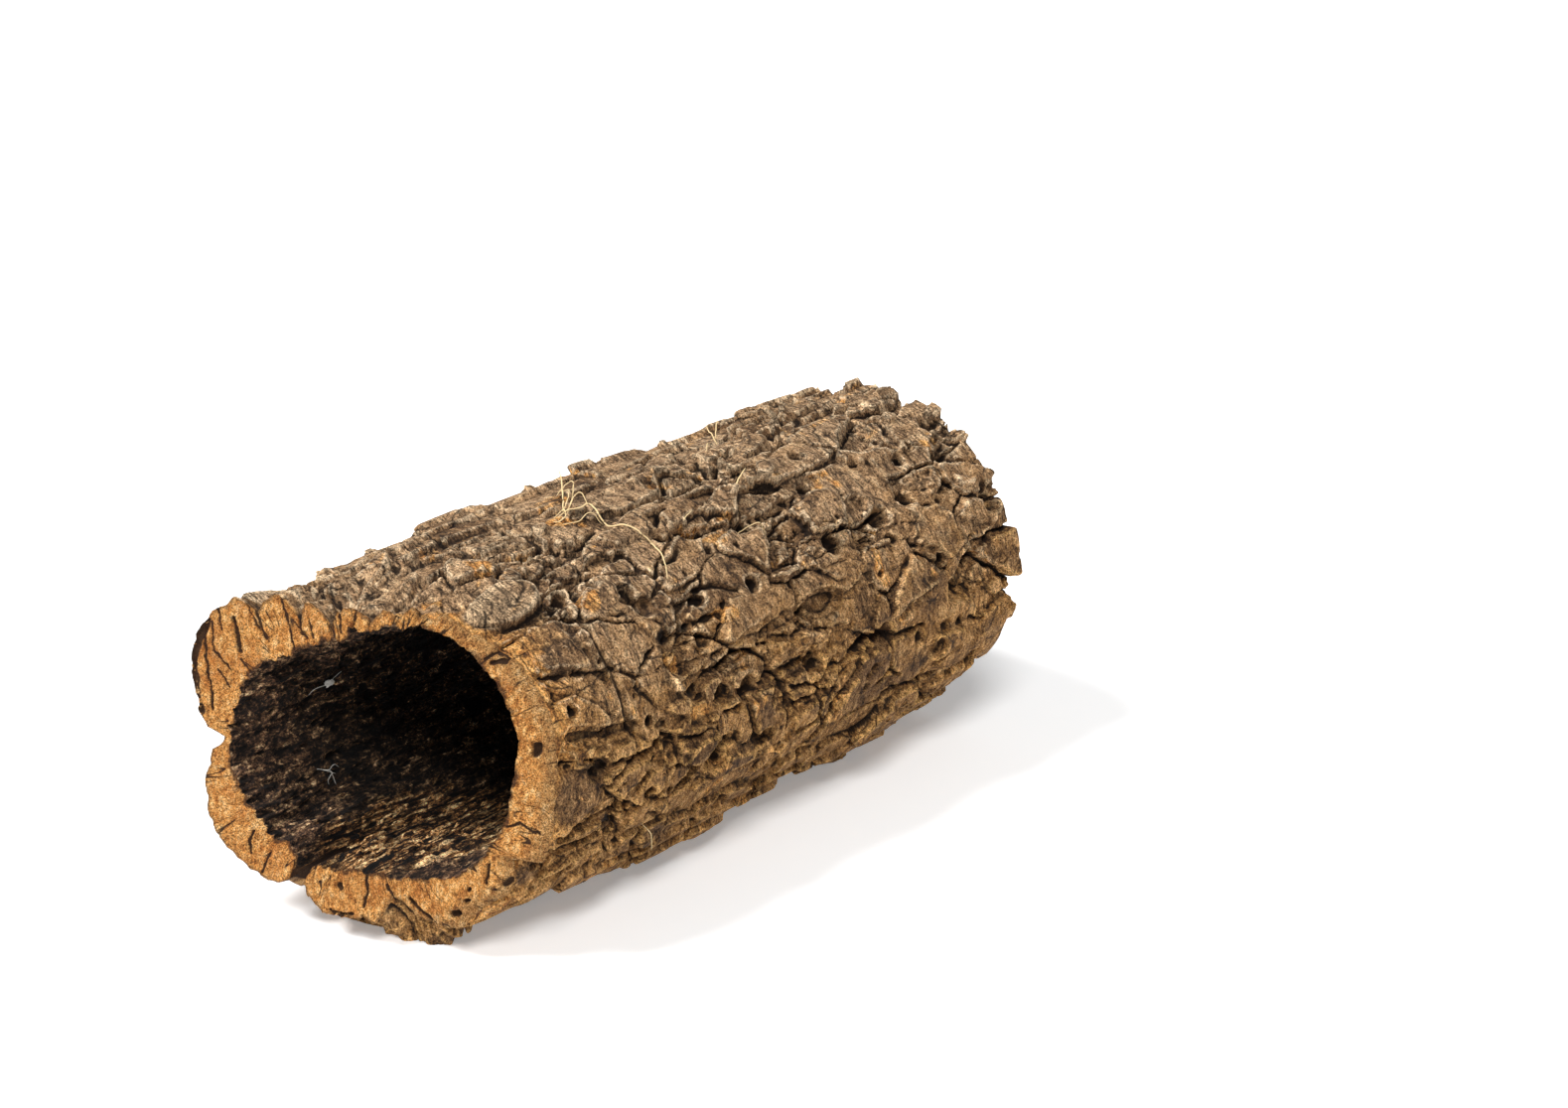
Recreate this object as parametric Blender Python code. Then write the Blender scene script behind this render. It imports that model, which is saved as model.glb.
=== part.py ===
"""A length of virgin cork bark, taken off a branch as a tube and lying on its side.

The tube runs along +Y and rests on z = 0. Its near end, at -Y, is sawn at a slant.
It is one closed wall: the rough outer bark, the far cut, the hollow and the near cut.
A place on it is given as degrees round the axis, from its right side over the top, and
as metres along the axis from the middle of the near cut.
"""

import math

import bmesh
import bpy
import numpy as np
from mathutils import noise

# Driving dimensions, in metres
LENGTH = 0.55
HALF_WIDTH = 0.140
HALF_HEIGHT = 0.122
HOLLOW_HALF_WIDTH = 0.108
HOLLOW_HALF_HEIGHT = 0.087
MEAN_RADIUS = 0.13
THINNEST_WALL = 0.006

# Where the axis lies, so that the tube is centred over the origin and rests on z = 0
AXIS_X = 0
AXIS_START = -0.262
AXIS_HEIGHT = 0.1215

# How far each saw cut leans back along the tube, in degrees: to its right and to its top
NEAR_SLANT = (14, 14)
FAR_SLANT = (-4, 6)

# The grown relief of the bark: how far it rises and falls, and the size of its forms
SWELL, SWELL_WIDTH, SWELL_LENGTH = 0.007, 0.060, 0.20
FURROW_DEPTH, FURROW_GAP, FURROW_LENGTH, FURROW_SHARE = 0.009, 0.042, 0.17, 0.10
PLATE_LIFT, PLATE_WIDTH, PLATE_LENGTH = 0.0055, 0.034, 0.050
CRACK_DEPTH, CRACK_SHARE, CRACK_AREA = 0.008, 0.08, 0.05
ROUGH, ROUGH_WIDTH, ROUGH_LENGTH = 0.0018, 0.028, 0.042
CREASE, CREASE_WIDTH, CREASE_LENGTH = 0.0050, 0.048, 0.085

# How far the forms wander and are shaken, so that none of them runs straight or even
WANDER_ROUND, WANDER_ALONG, WANDER_SIZE = 0.020, 0.020, 0.12
SHAKE, SHAKE_SIZE = 0.0024, 0.014

# The calm areas of the bark: the size of those that grew at random, and how much of the
# broken relief is missing in a calm area
CALM_WIDTH, CALM_LENGTH, CALM_SHARE = 0.055, 0.090, 0.55

# The layers that the bark wears off in: their height, how flat they are, and where in
# its height each one's steep end starts
LAYER, LAYER_FLATNESS, LAYER_END = 0.0058, 0.85, 0.80

# The ridges and fibres in the hollow, in the same way
RIDGE, RIDGE_WIDTH, RIDGE_LENGTH = 0.005, 0.032, 0.14
FIBRE, FIBRE_WIDTH, FIBRE_LENGTH = 0.0025, 0.012, 0.10

# How far behind the near cut the full relief starts on the bark, how much further on the
# side where its edge is worn, how much calmer it is near the cut, and the same start in
# the hollow
BARK_FADE, WORN_FADE = 0.008, 0.008
RIM_CALM = 0.25
HOLLOW_FADE = 0.03

# How finely the wall is laid out, and how many triangles are left once it is simplified
COLUMNS = 320
BARK_ROWS = 130
HOLLOW_ROWS = 46
CUT_ROWS = 3
MOST_TRIANGLES = 9400

# The outside of the near cut, as (degrees, radius): a point for each lobe and notch
NEAR_RIM = (
    (5, 0.134), (21, 0.133), (34, 0.129), (46, 0.121), (55, 0.116), (61, 0.110),
    (70, 0.115), (75, 0.104), (81, 0.109), (86, 0.100), (92, 0.105), (97, 0.095),
    (102, 0.103), (109, 0.108), (115, 0.095), (118, 0.108), (122, 0.116), (126, 0.108),
    (129, 0.129), (135, 0.134), (138, 0.130), (141, 0.149), (149, 0.155), (155, 0.154),
    (161, 0.150), (167, 0.141), (174, 0.131), (178, 0.123), (180, 0.108), (182, 0.108),
    (185, 0.117), (195, 0.122), (205, 0.124), (214, 0.123), (224, 0.115), (232, 0.110),
    (240, 0.104), (243, 0.096), (245, 0.090), (248, 0.091), (253, 0.098), (261, 0.105),
    (270, 0.104), (278, 0.102), (283, 0.106), (287, 0.097), (291, 0.090), (295, 0.093),
    (299, 0.106), (305, 0.119), (311, 0.128), (320, 0.124), (327, 0.129), (333, 0.130),
    (338, 0.120), (342, 0.139), (350, 0.137),
)
# The edge of the hollow at the near cut
NEAR_HOLLOW = (
    (5, 0.108), (20, 0.114), (43, 0.110), (60, 0.107), (70, 0.104), (83, 0.096),
    (97, 0.090), (114, 0.087), (136, 0.092), (153, 0.104), (170, 0.104), (185, 0.104),
    (200, 0.096), (212, 0.090), (223, 0.086), (232, 0.078), (242, 0.084), (247, 0.084),
    (252, 0.077), (268, 0.070), (284, 0.072), (308, 0.084), (322, 0.098), (335, 0.104),
    (350, 0.108),
)
# How far back the shape of the near cut carries, above the axis and under the tube
RIM_REACH = 0.085
RIM_REACH_BELOW = 0.035

# A split that opens the wall at the near cut: degrees, half width in degrees, depth
SPLIT = (246, 2.6, 0.040)

# Furrows: depth, half width, then the (degrees, along) points that each one follows
FURROWS = (
    (0.008, 0.005, ((53, 0.044), (54, 0.065), (55, 0.090), (54, 0.115), (56, 0.140))),
    (0.009, 0.006, ((15, 0.064), (12, 0.090), (10, 0.122), (7, 0.150), (6, 0.240), (8, 0.300))),
    (0.015, 0.006, ((181, 0.000), (180, 0.045), (184, 0.100), (181, 0.170))),
    (0.016, 0.007, ((246, 0.000), (248, 0.050), (243, 0.110), (246, 0.160))),
    (0.007, 0.005, ((334, 0.040), (338, 0.090), (333, 0.150), (336, 0.210))),
    (0.006, 0.004, ((28, 0.060), (36, 0.064), (45, 0.060))),
    (0.006, 0.004, ((20, 0.111), (28, 0.110), (38, 0.104), (51, 0.108))),
)

# Pits and holes: degrees, along, half width, half length, depth
PITS = (
    (48, 0.172, 0.011, 0.006, 0.012),
    (31, 0.177, 0.005, 0.008, 0.009),
    (31, 0.204, 0.004, 0.007, 0.009),
    (31, 0.221, 0.003, 0.009, 0.008),
    (8, 0.214, 0.007, 0.010, 0.012),
    (11, 0.188, 0.005, 0.008, 0.009),
    (346, 0.261, 0.007, 0.010, 0.011),
    (3, 0.083, 0.007, 0.009, 0.012),
    (117, 0.052, 0.003, 0.004, 0.005),
    (109, 0.043, 0.005, 0.004, 0.007),
    (349, 0.080, 0.004, 0.005, 0.007),
    (340, 0.104, 0.006, 0.007, 0.008),
    (343, 0.057, 0.004, 0.006, 0.006),
    (15, 0.024, 0.003, 0.003, 0.008),
    (20, 0.330, 0.012, 0.020, 0.013),
)

# Smooth plates: degrees, along, half width, half length, lift, how far the edge stands up
PLATES = (
    (64, 0.082, 0.020, 0.033, 0.003, -0.004),
    (358, 0.059, 0.019, 0.029, -0.002, 0.004),
    (353, 0.188, 0.011, 0.019, -0.004, 0.003),
)

# Broad calm areas: degrees, along, half width, half length
CALM_PLACES = (
    (326, 0.140, 0.050, 0.120),
    (318, 0.340, 0.045, 0.090),
)

# Lumps: degrees, along, half width, half length, lift
LUMPS = (
    (286, 0.012, 0.026, 0.026, 0.024),
    (253, 0.070, 0.030, 0.040, 0.008),
    (255, 0.450, 0.035, 0.050, 0.006),
    (288, 0.470, 0.030, 0.045, 0.006),
    (128, 0.080, 0.050, 0.060, 0.009),
    (122, 0.210, 0.060, 0.070, 0.005),
    (122, 0.340, 0.060, 0.110, 0.007),
    (315, 0.120, 0.040, 0.055, 0.007),
    (307, 0.230, 0.045, 0.055, 0.015),
    (303, 0.400, 0.045, 0.060, 0.008),
)


def smooth(low, high, value):
    """0 below low, 1 above high, and an even ease between."""
    share = np.clip((value - low) / (high - low), 0, 1)
    return share * share * (3 - 2 * share)


def oval(turn, half_width, half_height):
    """The radius of an ellipse at each angle."""
    return 1 / np.hypot(np.cos(turn) / half_width, np.sin(turn) / half_height)


def outline(points, turn):
    """The radius of a closed outline of (degrees, radius) points at each angle."""
    degrees, radii = zip(*points)
    return np.interp(np.degrees(turn) % 360, degrees, radii, period=360)


def bark_places(turn, along, across_size, along_size, seed):
    """Points in noise space, where features come out across_size wide and along_size long."""
    return np.stack((
        MEAN_RADIUS * np.cos(turn) / across_size + seed,
        along / along_size - seed,
        MEAN_RADIUS * np.sin(turn) / across_size,
    ), axis=-1)


def noise_on(turn, along, across_size, along_size, seed, read=noise.noise):
    """Noise over the bark, from about -1 to 1, read with a function that takes a point."""
    places = bark_places(turn, along, across_size, along_size, seed)
    values = [read(place) for place in places.reshape(-1, 3).tolist()]
    return np.array(values).reshape(turn.shape)


def fractal(place):
    """Noise with three ever smaller noises added to it."""
    return noise.fractal(place, 0.9, 2.1, 4)


def creases(place):
    """Round humps with sharp creases between, from 0 in the creases to about 1."""
    return noise.turbulence(place, 2, True)


def ragged(turn, along):
    """Places shaken by a few millimetres, so that edges made from them come out ragged."""
    round_the_tube = noise_on(turn, along, SHAKE_SIZE, SHAKE_SIZE, 31, fractal)
    along_it = noise_on(turn, along, SHAKE_SIZE, SHAKE_SIZE, 37, fractal)
    return turn + SHAKE / MEAN_RADIUS * round_the_tube, along + SHAKE * along_it


def plates_on(turn, along, across_size, along_size, seed):
    """Bark plates: how high each one stands, from about -1 to 1, and 1 in the cracks between."""
    places = bark_places(turn, along, across_size, along_size, seed).reshape(-1, 3)
    cells = [noise.voronoi(place) for place in places.tolist()]
    gaps = np.array([distances[1] - distances[0] for distances, centres in cells])
    centres = np.array([centres[0] for distances, centres in cells])
    looks = np.array([noise.cell_vector(centre) for centre in (7.31 * centres).tolist()])
    offsets = places - centres
    round_the_tube = offsets[:, 2] * np.cos(turn.ravel()) - offsets[:, 0] * np.sin(turn.ravel())
    level, lean_round, lean_along = (2 * looks - 1).T
    lift = level + 1.2 * lean_round * round_the_tube + 1.6 * lean_along * offsets[:, 1]
    crack = np.exp(-((gaps / CRACK_SHARE) ** 2))
    return lift.reshape(turn.shape), crack.reshape(turn.shape)


def arc_between(turn, degrees):
    """How far each angle is from one given in degrees, in metres round the bark."""
    return np.radians((np.degrees(turn) - degrees + 180) % 360 - 180) * MEAN_RADIUS


def distance_to_line(turn, along, points):
    """How far each place is from a line through (degrees, along) points, in metres."""
    nearest = np.full(turn.shape, np.inf)
    for (degrees, start), (next_degrees, end) in zip(points, points[1:]):
        across = arc_between(turn, degrees)
        run_across = math.radians(next_degrees - degrees) * MEAN_RADIUS
        run_along = end - start
        share = (across * run_across + (along - start) * run_along) / (run_across**2 + run_along**2)
        share = np.clip(share, 0, 1)
        gap = np.hypot(across - share * run_across, along - start - share * run_along)
        nearest = np.minimum(nearest, gap)
    return nearest


def ellipse_distance(turn, along, mark):
    """Distance from a mark's middle, where 1 is on its edge."""
    degrees, middle, half_width, half_length = mark[:4]
    return np.hypot(arc_between(turn, degrees) / half_width, (along - middle) / half_length)


def calm_at(turn, along):
    """1 where the bark is calm and 0 where it is broken."""
    noisy = smooth(-0.10, 0.25, noise_on(turn, along, CALM_WIDTH, CALM_LENGTH, 83))
    marked = sum(np.exp(-ellipse_distance(turn, along, place) ** 4) for place in CALM_PLACES)
    return np.clip(noisy + marked, 0, 1)


def grown_relief(turn, along):
    """The bark's own swells, furrows, plates and creases, in metres above its mean surface."""
    turned = turn + WANDER_ROUND / MEAN_RADIUS * noise_on(turn, along, WANDER_SIZE, WANDER_SIZE, 3)
    slid = along + WANDER_ALONG * noise_on(turn, along, WANDER_SIZE, WANDER_SIZE, 8)
    swell = noise_on(turned, slid, SWELL_WIDTH, SWELL_LENGTH, 1)
    lane = noise_on(turned, slid, FURROW_GAP, FURROW_LENGTH, 12)
    furrow = np.exp(-((lane / FURROW_SHARE) ** 2))
    lift, crack = plates_on(turned, slid, PLATE_WIDTH, PLATE_LENGTH, 5)
    open_here = smooth(-0.35, 0.25, noise_on(turned, slid, CRACK_AREA, CRACK_AREA, 15))
    rough = noise_on(turn, along, ROUGH_WIDTH, ROUGH_LENGTH, 43, fractal)
    humps = noise_on(turn, along, CREASE_WIDTH, CREASE_LENGTH, 47, creases) - 0.5
    broken = ROUGH * rough + CREASE * humps + PLATE_LIFT * lift
    cut = FURROW_DEPTH * furrow + CRACK_DEPTH * open_here * crack
    return SWELL * swell + (broken - cut) * (1 - CALM_SHARE * calm_at(turn, along))


def on_plate(turn, along, plate):
    """1 on a smooth plate and 0 off it."""
    return 1 - smooth(0.8, 1.05, ellipse_distance(turn, along, plate))


def marked_relief(turn, along, relief):
    """The relief with the plates, lumps, furrows and pits of the lists worked into it."""
    for plate in PLATES:
        inside = on_plate(turn, along, plate)
        edge = np.exp(-(((ellipse_distance(turn, along, plate) - 1.05) / 0.12) ** 2))
        relief = relief * (1 - 0.85 * inside) + plate[4] * inside + plate[5] * edge
    for lump in LUMPS:
        relief = relief + lump[4] * np.exp(-ellipse_distance(turn, along, lump) ** 2)
    for depth, half_width, points in FURROWS:
        off = distance_to_line(turn, along, points) / half_width
        fades = 1 - 0.6 * smooth(0, points[-1][1], along)
        relief = relief - depth * fades * np.exp(-(off**2))
    for pit in PITS:
        relief = relief - pit[4] * np.exp(-ellipse_distance(turn, along, pit) ** 4)
    return relief


def in_layers(height):
    """A height cut into layers with steep ends, as where worn bark breaks off."""
    level = height / LAYER
    part = level - np.floor(level)
    return height + LAYER_FLATNESS * LAYER * (smooth(LAYER_END, 1, part) - part)


def bark_relief(turn, along):
    """How far the bark stands above its mean surface, in metres."""
    relief = marked_relief(turn, along, grown_relief(*ragged(turn, along)))
    rough_here = 1 - 0.75 * sum(on_plate(turn, along, plate) for plate in PLATES)
    return relief + rough_here * (in_layers(relief) - relief)


def worn_share(turn):
    """1 on the right side, where the edge of the cut is worn round, and 0 where it is sharp."""
    return smooth(0.1, 0.7, np.cos(turn - math.radians(5)))


def bark_radius(turn, along, from_cut):
    """The bark's distance from the axis. from_cut is the distance behind the near cut."""
    below = smooth(0.3, 0.8, -np.sin(turn))
    reach = RIM_REACH + (RIM_REACH_BELOW - RIM_REACH) * below
    at_rim = 1 - smooth(0, 1, from_cut / reach)
    body = oval(turn, HALF_WIDTH, HALF_HEIGHT)
    body = body + (outline(NEAR_RIM, turn) - body) * at_rim
    fade = BARK_FADE + WORN_FADE * worn_share(turn)
    shown = smooth(0, fade, from_cut) * (1 - RIM_CALM * at_rim)
    return body + shown * bark_relief(turn, along)


def hollow_radius(turn, along, from_cut):
    """The hollow's distance from the axis."""
    at_rim = 1 - smooth(0, 2 * RIM_REACH, from_cut)
    body = oval(turn, HOLLOW_HALF_WIDTH, HOLLOW_HALF_HEIGHT)
    body = body + (outline(NEAR_HOLLOW, turn) - body) * at_rim
    shown = smooth(0, HOLLOW_FADE, from_cut)
    ridges = RIDGE * noise_on(turn, along, RIDGE_WIDTH, RIDGE_LENGTH, 21)
    fibres = FIBRE * noise_on(turn, along, FIBRE_WIDTH, FIBRE_LENGTH, 27)
    return body + shown * (ridges + fibres)


def cut_place(slant, turn, radius):
    """How far along the axis a saw cut lies at each angle and radius."""
    right, top = (math.tan(math.radians(lean)) for lean in slant)
    return radius * (np.cos(turn) * right + np.sin(turn) * top)


def split_depth(turn):
    """How far the split takes the near cut back at each angle."""
    degrees, half_width, depth = SPLIT
    off = np.abs((np.degrees(turn) - degrees + 180) % 360 - 180)
    return depth * (1 - smooth(0.5 * half_width, half_width, off))


def wall_surface(radius_at, rim, rows):
    """Rings of points along one face of the wall, from the near cut to the far one."""
    turn = np.linspace(0, 2 * math.pi, COLUMNS, endpoint=False)
    cut = cut_place(NEAR_SLANT, turn, outline(rim, turn))
    near = cut + split_depth(turn)
    far = LENGTH + cut_place(FAR_SLANT, turn, MEAN_RADIUS)
    share = np.linspace(0, 1, rows + 1)[:, None]
    along = near + (far - near) * share
    turns = np.broadcast_to(turn, along.shape)
    return turns, along, radius_at(turns, along, along - cut)


def placed(turn, along, radius):
    x = AXIS_X + radius * np.cos(turn)
    y = AXIS_START + along
    z = AXIS_HEIGHT + radius * np.sin(turn)
    return np.stack((x, y, z), axis=-1)


def rings_between(start, end, rows):
    shares = np.linspace(0, 1, rows + 1)[1:-1]
    return [start + (end - start) * share for share in shares]


def wall_rings():
    """Rings down the bark, across the far cut, back up the hollow and across the near cut."""
    turn, along, radius = wall_surface(bark_radius, NEAR_RIM, BARK_ROWS)
    hollow_turn, hollow_along, hollow = wall_surface(hollow_radius, NEAR_HOLLOW, BARK_ROWS)
    radius = np.maximum(radius, hollow + THINNEST_WALL)
    bark = placed(turn, along, radius)
    rows = np.linspace(BARK_ROWS, 0, HOLLOW_ROWS + 1).round().astype(int)
    inside = placed(hollow_turn, hollow_along, hollow)[rows]
    far_cut = rings_between(bark[-1], inside[0], CUT_ROWS)
    near_cut = rings_between(inside[-1], bark[0], CUT_ROWS)
    return [*bark, *far_cut, *inside, *near_cut]


def closed_wall(name, rings):
    """One closed mesh that joins each ring to the next, and the last to the first."""
    bm = bmesh.new()
    rows = [[bm.verts.new(point) for point in ring] for ring in rings]
    for row, after in zip(rows, rows[1:] + rows[:1]):
        for i, vert in enumerate(row):
            bm.faces.new((vert, after[i], after[i - 1], row[i - 1]))
    bmesh.ops.recalc_face_normals(bm, faces=bm.faces)
    mesh = bpy.data.meshes.new(name)
    bm.to_mesh(mesh)
    bm.free()
    return mesh


def cork_material():
    material = bpy.data.materials.new("cork_bark")
    material.use_nodes = True
    shader = material.node_tree.nodes["Principled BSDF"]
    shader.inputs["Base Color"].default_value = (0.26, 0.17, 0.10, 1)
    shader.inputs["Roughness"].default_value = 0.95
    shader.inputs["Metallic"].default_value = 0
    return material


def ground():
    """A block under z = 0, which takes the lowest lumps off flat."""
    bm = bmesh.new()
    bmesh.ops.create_cube(bm, size=2 * LENGTH)
    bmesh.ops.translate(bm, verts=bm.verts, vec=(0, 0, -LENGTH))
    mesh = bpy.data.meshes.new("ground")
    bm.to_mesh(mesh)
    bm.free()
    block = bpy.data.objects.new("ground", mesh)
    block.hide_render = True
    block.display_type = "WIRE"
    bpy.context.scene.collection.objects.link(block)
    return block


def cork_tube():
    mesh = closed_wall("cork_tube", wall_rings())
    mesh.materials.append(cork_material())
    mesh.shade_smooth()
    tube = bpy.data.objects.new("cork_tube", mesh)
    bpy.context.scene.collection.objects.link(tube)
    simplify = tube.modifiers.new("Simplify", "DECIMATE")
    simplify.ratio = MOST_TRIANGLES / (2 * len(mesh.polygons))
    stand = tube.modifiers.new("Stand", "BOOLEAN")
    stand.operation = "DIFFERENCE"
    stand.object = ground()
    return tube


def main():
    for obj in list(bpy.data.objects):
        bpy.data.objects.remove(obj)
    cork_tube()


main()
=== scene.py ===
# %% [markdown]
# # A hollow cork branch
# Cork oak grows a thick corky bark. Virgin cork is the first, wild bark, and where it comes off a limb whole
# it keeps the limb's shape: a rough tube, sawn at both ends, with nothing left where the wood was.
# This lesson takes the plain solid of such a tube as its frame and gives it the bark, the sawn cork, the
# hollow with its painted shade and the bits of dry root that make it look real. Every size is in metres.

# %% Load the solid and note its box
import math

import bmesh
import bpy
import numpy as np
from mathutils import Matrix, Vector, noise


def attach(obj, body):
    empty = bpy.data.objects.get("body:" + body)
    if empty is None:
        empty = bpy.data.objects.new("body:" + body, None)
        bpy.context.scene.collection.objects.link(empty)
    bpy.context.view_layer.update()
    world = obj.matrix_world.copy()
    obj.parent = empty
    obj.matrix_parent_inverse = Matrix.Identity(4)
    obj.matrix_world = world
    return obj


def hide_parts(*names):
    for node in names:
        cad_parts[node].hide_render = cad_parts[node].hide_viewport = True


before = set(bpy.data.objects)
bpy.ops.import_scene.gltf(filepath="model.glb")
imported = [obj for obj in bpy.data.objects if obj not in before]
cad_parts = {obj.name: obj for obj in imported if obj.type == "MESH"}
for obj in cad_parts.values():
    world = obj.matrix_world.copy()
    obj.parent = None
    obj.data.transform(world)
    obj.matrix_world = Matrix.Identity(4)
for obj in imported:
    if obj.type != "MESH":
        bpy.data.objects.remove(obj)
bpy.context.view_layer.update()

# %% [markdown]
# ## Where the tube lies
# Almost everything on a tube is easier to place by two numbers than by x, y and z: how far round it is, in
# degrees from the right side over the top, and how far along it is, from the middle of the near cut.
# The values here are the driving sizes of the solid, so the skin made from them fits it with no adjusting.

# %% Driving sizes
LENGTH = 0.55
HALF_WIDTH = 0.140
HALF_HEIGHT = 0.122
HOLLOW_HALF_WIDTH = 0.108
HOLLOW_HALF_HEIGHT = 0.087
MEAN_RADIUS = 0.13
THINNEST_WALL = 0.006

AXIS_X = 0
AXIS_START = -0.262
AXIS_HEIGHT = 0.1215

NEAR_SLANT = (14, 14)
FAR_SLANT = (-4, 6)
print("wall about", round(1000 * (HALF_WIDTH - HOLLOW_HALF_WIDTH)), "mm thick")

# %% [markdown]
# ## The camera
# A picture is matched first by its camera. The photograph looks down on the tube from its right, with a long
# lens that keeps the far end nearly as large as the near one. Two angles and a distance fix the view, and the
# pixel where the middle of the near cut shows fixes the framing, so no lens shift is needed.

# %% Aim the camera
PHOTO_WIDTH, PHOTO_HEIGHT = 1579, 1116
LENS, SENSOR = 100, 36
VIEW_ROUND, VIEW_DOWN = math.radians(40), math.radians(21.5)
VIEW_DISTANCE = 2.92
NEAR_CUT_PIXEL = (368, 770)
NEAR_CUT_HEIGHT = 0.1225
near_cut_middle = Vector((AXIS_X, AXIS_START, NEAR_CUT_HEIGHT))

right = Vector((math.cos(VIEW_ROUND), math.sin(VIEW_ROUND), 0))
level = math.cos(VIEW_DOWN)
ahead = Vector((-math.sin(VIEW_ROUND) * level, math.cos(VIEW_ROUND) * level, -math.sin(VIEW_DOWN)))
upward = right.cross(ahead)
pixels_per_unit = LENS / SENSOR * PHOTO_WIDTH
across = (NEAR_CUT_PIXEL[0] - PHOTO_WIDTH / 2) / pixels_per_unit
down = (NEAR_CUT_PIXEL[1] - PHOTO_HEIGHT / 2) / pixels_per_unit

camera = bpy.data.objects.new("camera", bpy.data.cameras.new("camera"))
camera.data.lens = LENS
camera.data.sensor_width = SENSOR
camera.matrix_world = Matrix((right, upward, -ahead)).transposed().to_4x4()
camera.location = near_cut_middle - VIEW_DISTANCE * (ahead + across * right - down * upward)
bpy.context.scene.collection.objects.link(camera)
bpy.context.scene.camera = camera
print("camera at", [round(v, 2) for v in camera.location])

# %% [markdown]
# ## Floor and light
# A product photograph hides its studio: a white floor, white walls, and light so broad that the only shadow
# is the soft one where the thing touches the ground. A big plane and a plain world give that base. The bark
# then needs light from one side to show its relief. A sun lamp with a wide angle does the work of a softbox,
# and lights the whole floor evenly. The key comes from the upper left, over the camera's shoulder, so that it
# reaches into the hollow, and a weaker one from the right lifts the flank.

# %% A pale floor
FLOOR_SIZE = 12
FLOOR_GAP = 0.0002
FLOOR_GLOW = 0.24


def plain_material(name, colour, roughness):
    material = bpy.data.materials.new(name)
    material.use_nodes = True
    shader = material.node_tree.nodes["Principled BSDF"]
    shader.inputs["Base Color"].default_value = (*colour, 1)
    shader.inputs["Roughness"].default_value = roughness
    return material


floor_mesh = bpy.data.meshes.new("floor")
half = FLOOR_SIZE / 2
floor_corners = [(x * half, y * half, -FLOOR_GAP) for x, y in ((-1, -1), (1, -1), (1, 1), (-1, 1))]
floor_mesh.from_pydata(floor_corners, [], [(0, 1, 2, 3)])
floor = bpy.data.objects.new("floor", floor_mesh)
white_floor = plain_material("white_floor", (0.92, 0.92, 0.92), 0.9)
floor_shader = white_floor.node_tree.nodes["Principled BSDF"]
floor_shader.inputs["Emission Color"].default_value = (1, 1, 1, 1)
floor_shader.inputs["Emission Strength"].default_value = FLOOR_GLOW
floor_mesh.materials.append(white_floor)
bpy.context.scene.collection.objects.link(floor)
print("floor", FLOOR_SIZE, "m across")

# %% Soft studio lights
LIGHTS = (
    # name, where it comes from, strength, how wide it looks in degrees
    ("key", (-0.50, -0.60, 1.0), 4.5, 20),
    ("flank", (0.75, -0.80, 1.30), 2.1, 20),
)
WORLD_LIGHT = 0.29

for name, source, strength, width in LIGHTS:
    lamp = bpy.data.objects.new(name, bpy.data.lights.new(name, "SUN"))
    lamp.data.energy = strength
    lamp.data.angle = math.radians(width)
    lamp.rotation_euler = (-Vector(source)).to_track_quat("-Z", "Y").to_euler()
    bpy.context.scene.collection.objects.link(lamp)

world = bpy.data.worlds.new("studio")
world.use_nodes = True
world.node_tree.nodes["Background"].inputs["Color"].default_value = (1, 1, 1, 1)
world.node_tree.nodes["Background"].inputs["Strength"].default_value = WORLD_LIGHT
bpy.context.scene.world = world
bpy.context.scene.view_settings.view_transform = "Standard"
print(len(LIGHTS), "lights and a world of", WORLD_LIGHT)

# %% [markdown]
# ## The outline of the saw cut
# The near end shows the bark in section, and its outline is the most recognisable line of the whole piece: a
# fat lobe at the upper left, a row of small teeth along the top, a notch at the left and a ragged bottom. It
# could be drawn as a curve, but a table of angle and radius is simpler here, because the whole skin is
# made from angles and radii. One point stands for each lobe and each notch.

# %% Outlines of the near cut
NEAR_RIM = (
    (5, 0.134), (21, 0.133), (34, 0.129), (46, 0.121), (55, 0.116), (61, 0.110),
    (70, 0.115), (75, 0.104), (81, 0.109), (86, 0.100), (92, 0.105), (97, 0.095),
    (102, 0.103), (109, 0.108), (115, 0.095), (118, 0.108), (122, 0.116), (126, 0.108),
    (129, 0.129), (135, 0.134), (138, 0.130), (141, 0.149), (149, 0.155), (155, 0.154),
    (161, 0.150), (167, 0.141), (174, 0.131), (178, 0.123), (180, 0.108), (182, 0.108),
    (185, 0.117), (195, 0.122), (205, 0.124), (214, 0.123), (224, 0.115), (232, 0.110),
    (240, 0.104), (243, 0.096), (245, 0.090), (248, 0.091), (253, 0.098), (261, 0.105),
    (270, 0.104), (278, 0.102), (283, 0.106), (287, 0.097), (291, 0.090), (295, 0.093),
    (299, 0.106), (305, 0.119), (311, 0.128), (320, 0.124), (327, 0.129), (333, 0.130),
    (338, 0.120), (342, 0.139), (350, 0.137),
)
NEAR_HOLLOW = (
    (5, 0.108), (20, 0.114), (43, 0.110), (60, 0.107), (70, 0.104), (83, 0.096),
    (97, 0.090), (114, 0.087), (136, 0.092), (153, 0.104), (170, 0.104), (185, 0.104),
    (200, 0.096), (212, 0.090), (223, 0.086), (232, 0.078), (242, 0.084), (247, 0.084),
    (252, 0.077), (268, 0.070), (284, 0.072), (308, 0.084), (322, 0.098), (335, 0.104),
    (350, 0.108),
)
RIM_REACH = 0.085
RIM_REACH_BELOW = 0.035
SPLIT = (246, 2.6, 0.040)
print(len(NEAR_RIM), "points outside,", len(NEAR_HOLLOW), "round the hollow")

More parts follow.
